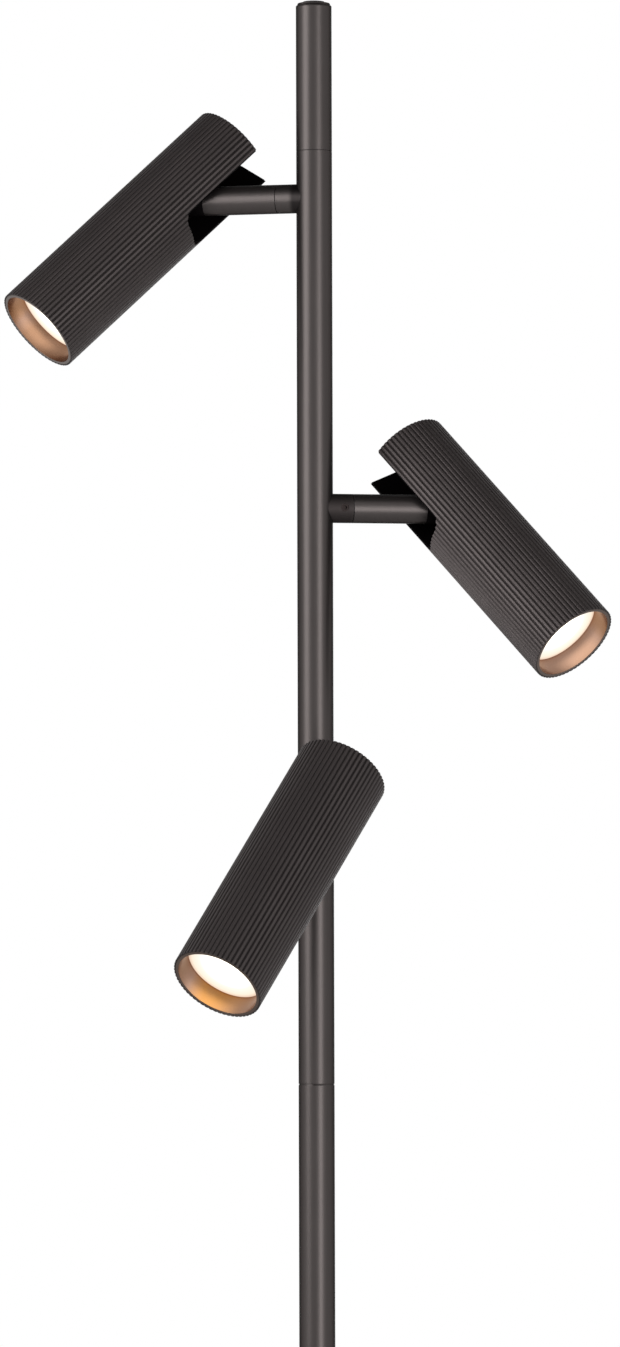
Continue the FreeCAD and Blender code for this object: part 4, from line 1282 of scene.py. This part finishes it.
@dataclass
class Studio:
    """Camera, lights, floor and background.

    The arm strip draws a pale band along the arms, and the shell spot shines across the
    middle spotlight. Each lights only the pieces that it is given.
    """

    camera_place: tuple[float, float, float] = (0.36079, -4.91797, 0.83330)
    heading: tuple[float, float] = (-0.073846, 0.997270)
    pitch: float = 2.9343
    roll: float = -0.155
    focal_pixels: float = 8057.4
    picture_height: float = 1347.0
    soft_strength: float = 0.3
    card_reach: float = 1.0
    card_height: float = 2.6
    card_thickness: float = 0.01
    card_tone: float = 0.01
    floor_radius: float = 3.0
    floor_steps: int = 96
    floor_thickness: float = 2 * MM
    floor_tone: float = 0.85
    fade_start: float = 0.25
    fade_end: float = 0.9
    least_white: float = 0.6
    lights: Sequence[Softbox] = (
        Softbox("left_softbox", -56.0, 2.2, 1.65, 1.3, 1.6, -28.0, 31.0),
        Softbox("right_softbox", 27.0, 2.6, 0.95, 0.8, 1.93, -28.0, 30.0),
        Softbox("rear_softbox", 165.0, 2.6, 1.1, 1.4, 1.8, 0.0, 14.0))
    arm_strip: Softbox = Softbox("arm_light", -26.0, 2.4, 1.5, 0.5, 2.0, 0.0, 18.0)
    shell_spot: Softbox = Softbox("shell_light", -57.0, 0.75, 0.45, 0.5, 0.5, 0.0, 21.0)

    @property
    def front(self) -> float:
        """The angle in the floor's plane of the way to the camera."""
        return math.atan2(-self.heading[1], -self.heading[0])

    def build(self) -> None:
        """Sets up the whole studio."""
        self.camera()
        self.world()
        for light in self.lights:
            light.build(self.front)
        self.ceiling_card()
        self.floor()
        bpy.context.scene.view_settings.view_transform = "Standard"

    def camera(self) -> None:
        """The camera where the photograph was taken."""
        data = bpy.data.cameras.new("camera")
        data.lens = self.focal_pixels * data.sensor_width / self.picture_height
        camera = as_object(data)
        tilt = math.radians(self.pitch)
        level = Vector((*self.heading, 0.0)).normalized() * math.cos(tilt)
        forward = level + Vector((0, 0, math.sin(tilt)))
        camera.matrix_world = aimed(self.camera_place, forward, self.roll)
        bpy.context.scene.camera = camera

    def world(self) -> None:
        """A white background, and a softer light for the object."""
        world = bpy.data.worlds.new("studio")
        bpy.context.scene.world = world
        canvas = Canvas.of(world)
        soft, white = (canvas.add("ShaderNodeBackground", {
            "Color": grey(1.0), "Strength": strength}) for strength in (self.soft_strength, 1.0))
        mixed = canvas.add("ShaderNodeMixShader", {
            0: canvas.backdrop_share(), 1: soft.outputs[0], 2: white.outputs[0]})
        canvas.add("ShaderNodeOutputWorld", {"Surface": mixed.outputs[0]})

    def ceiling_card(self) -> None:
        """A black card over the lamp, which keeps its upper sides dark."""
        reach = self.card_reach
        square = [(-reach, -reach), (reach, -reach), (reach, reach), (-reach, reach)]
        mesh = prism("ceiling_card", square, self.card_height,
                     self.card_height + self.card_thickness)
        made = bpy.data.materials.new("black_card")
        canvas = Canvas.of(made)
        black = canvas.add("ShaderNodeBsdfDiffuse", {"Color": grey(self.card_tone)})
        canvas.add("ShaderNodeOutputMaterial", {"Surface": black.outputs[0]})
        mesh.materials.append(made)
        card = as_object(mesh)
        card.visible_camera = False
        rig.stage(card)

    def floor(self) -> None:
        """A pale floor that keeps the lamp's shadow and fades to white."""
        low = -self.floor_thickness
        outline = [(0.0, low), (self.floor_radius, low), (self.floor_radius, 0.0), (0.0, 0.0)]
        mesh = turned("studio_floor", outline, even_angles(self.floor_steps))
        made = bpy.data.materials.new("pale_floor")
        canvas = Canvas.of(made)
        place = canvas.add("ShaderNodeTexCoord").outputs["Object"]
        distance = canvas.add("ShaderNodeVectorMath", {0: place}, operation="LENGTH")
        far = canvas.smooth(distance.outputs["Value"], self.fade_start, self.fade_end, self.least_white)
        pale = canvas.add("ShaderNodeBsdfDiffuse", {"Color": grey(self.floor_tone)})
        white = canvas.add("ShaderNodeEmission", {"Color": grey(1.0), "Strength": 1.0})
        mixed = canvas.add("ShaderNodeMixShader", {
            0: far * canvas.backdrop_share(), 1: pale.outputs[0], 2: white.outputs[0]})
        canvas.add("ShaderNodeOutputMaterial", {"Surface": mixed.outputs[0]})
        mesh.materials.append(made)
        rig.stage(as_object(mesh))


# The whole lamp


@dataclass
class SizeNote:
    """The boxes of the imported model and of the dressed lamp, kept for comparison."""

    path: str = WORK_FOLDER + "/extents.json"

    def box(self) -> list[list[float]]:
        """The shown lamp's box as plain lists."""
        return [list(corner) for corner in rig.bounds()]

    def write(self, before: list[list[float]]) -> None:
        """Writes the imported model's box, taken before, and the dressed lamp's."""
        with open(self.path, "w", encoding="utf-8") as target:
            json.dump({"cad": before, "visual": self.box()}, target)


def report(step: str, work: Callable[[], Any]) -> None:
    """Runs a step of the building and logs it."""
    outcome = work()
    log.info("%s done%s", step, "" if outcome is None else f": {outcome}")


def main() -> None:
    """Builds the lamp and its studio."""
    logging.basicConfig(level=logging.INFO, format="%(name)s: %(message)s")
    note = SizeNote()
    packed_box = note.box()
    studio = Studio()
    spotlight = Spotlight()
    limbs = [Limb.read(number, spotlight.pivot_place) for number in ("1", "2", "3")]
    report("studio", studio.build)
    report("pole", Pole().build)
    report("foot", Foot().build)
    report("collars and arms", lambda: studio.arm_strip.build(
        studio.front, Collar().build(limbs)[:1] + Arm().build(limbs)))
    report("spotlights", lambda: studio.shell_spot.build(
        studio.front, spotlight.build(limbs)[1:2]))
    report("carried pieces", CarriedNodes().dress)
    note.write(packed_box)


if __name__ == "__main__":
    main()
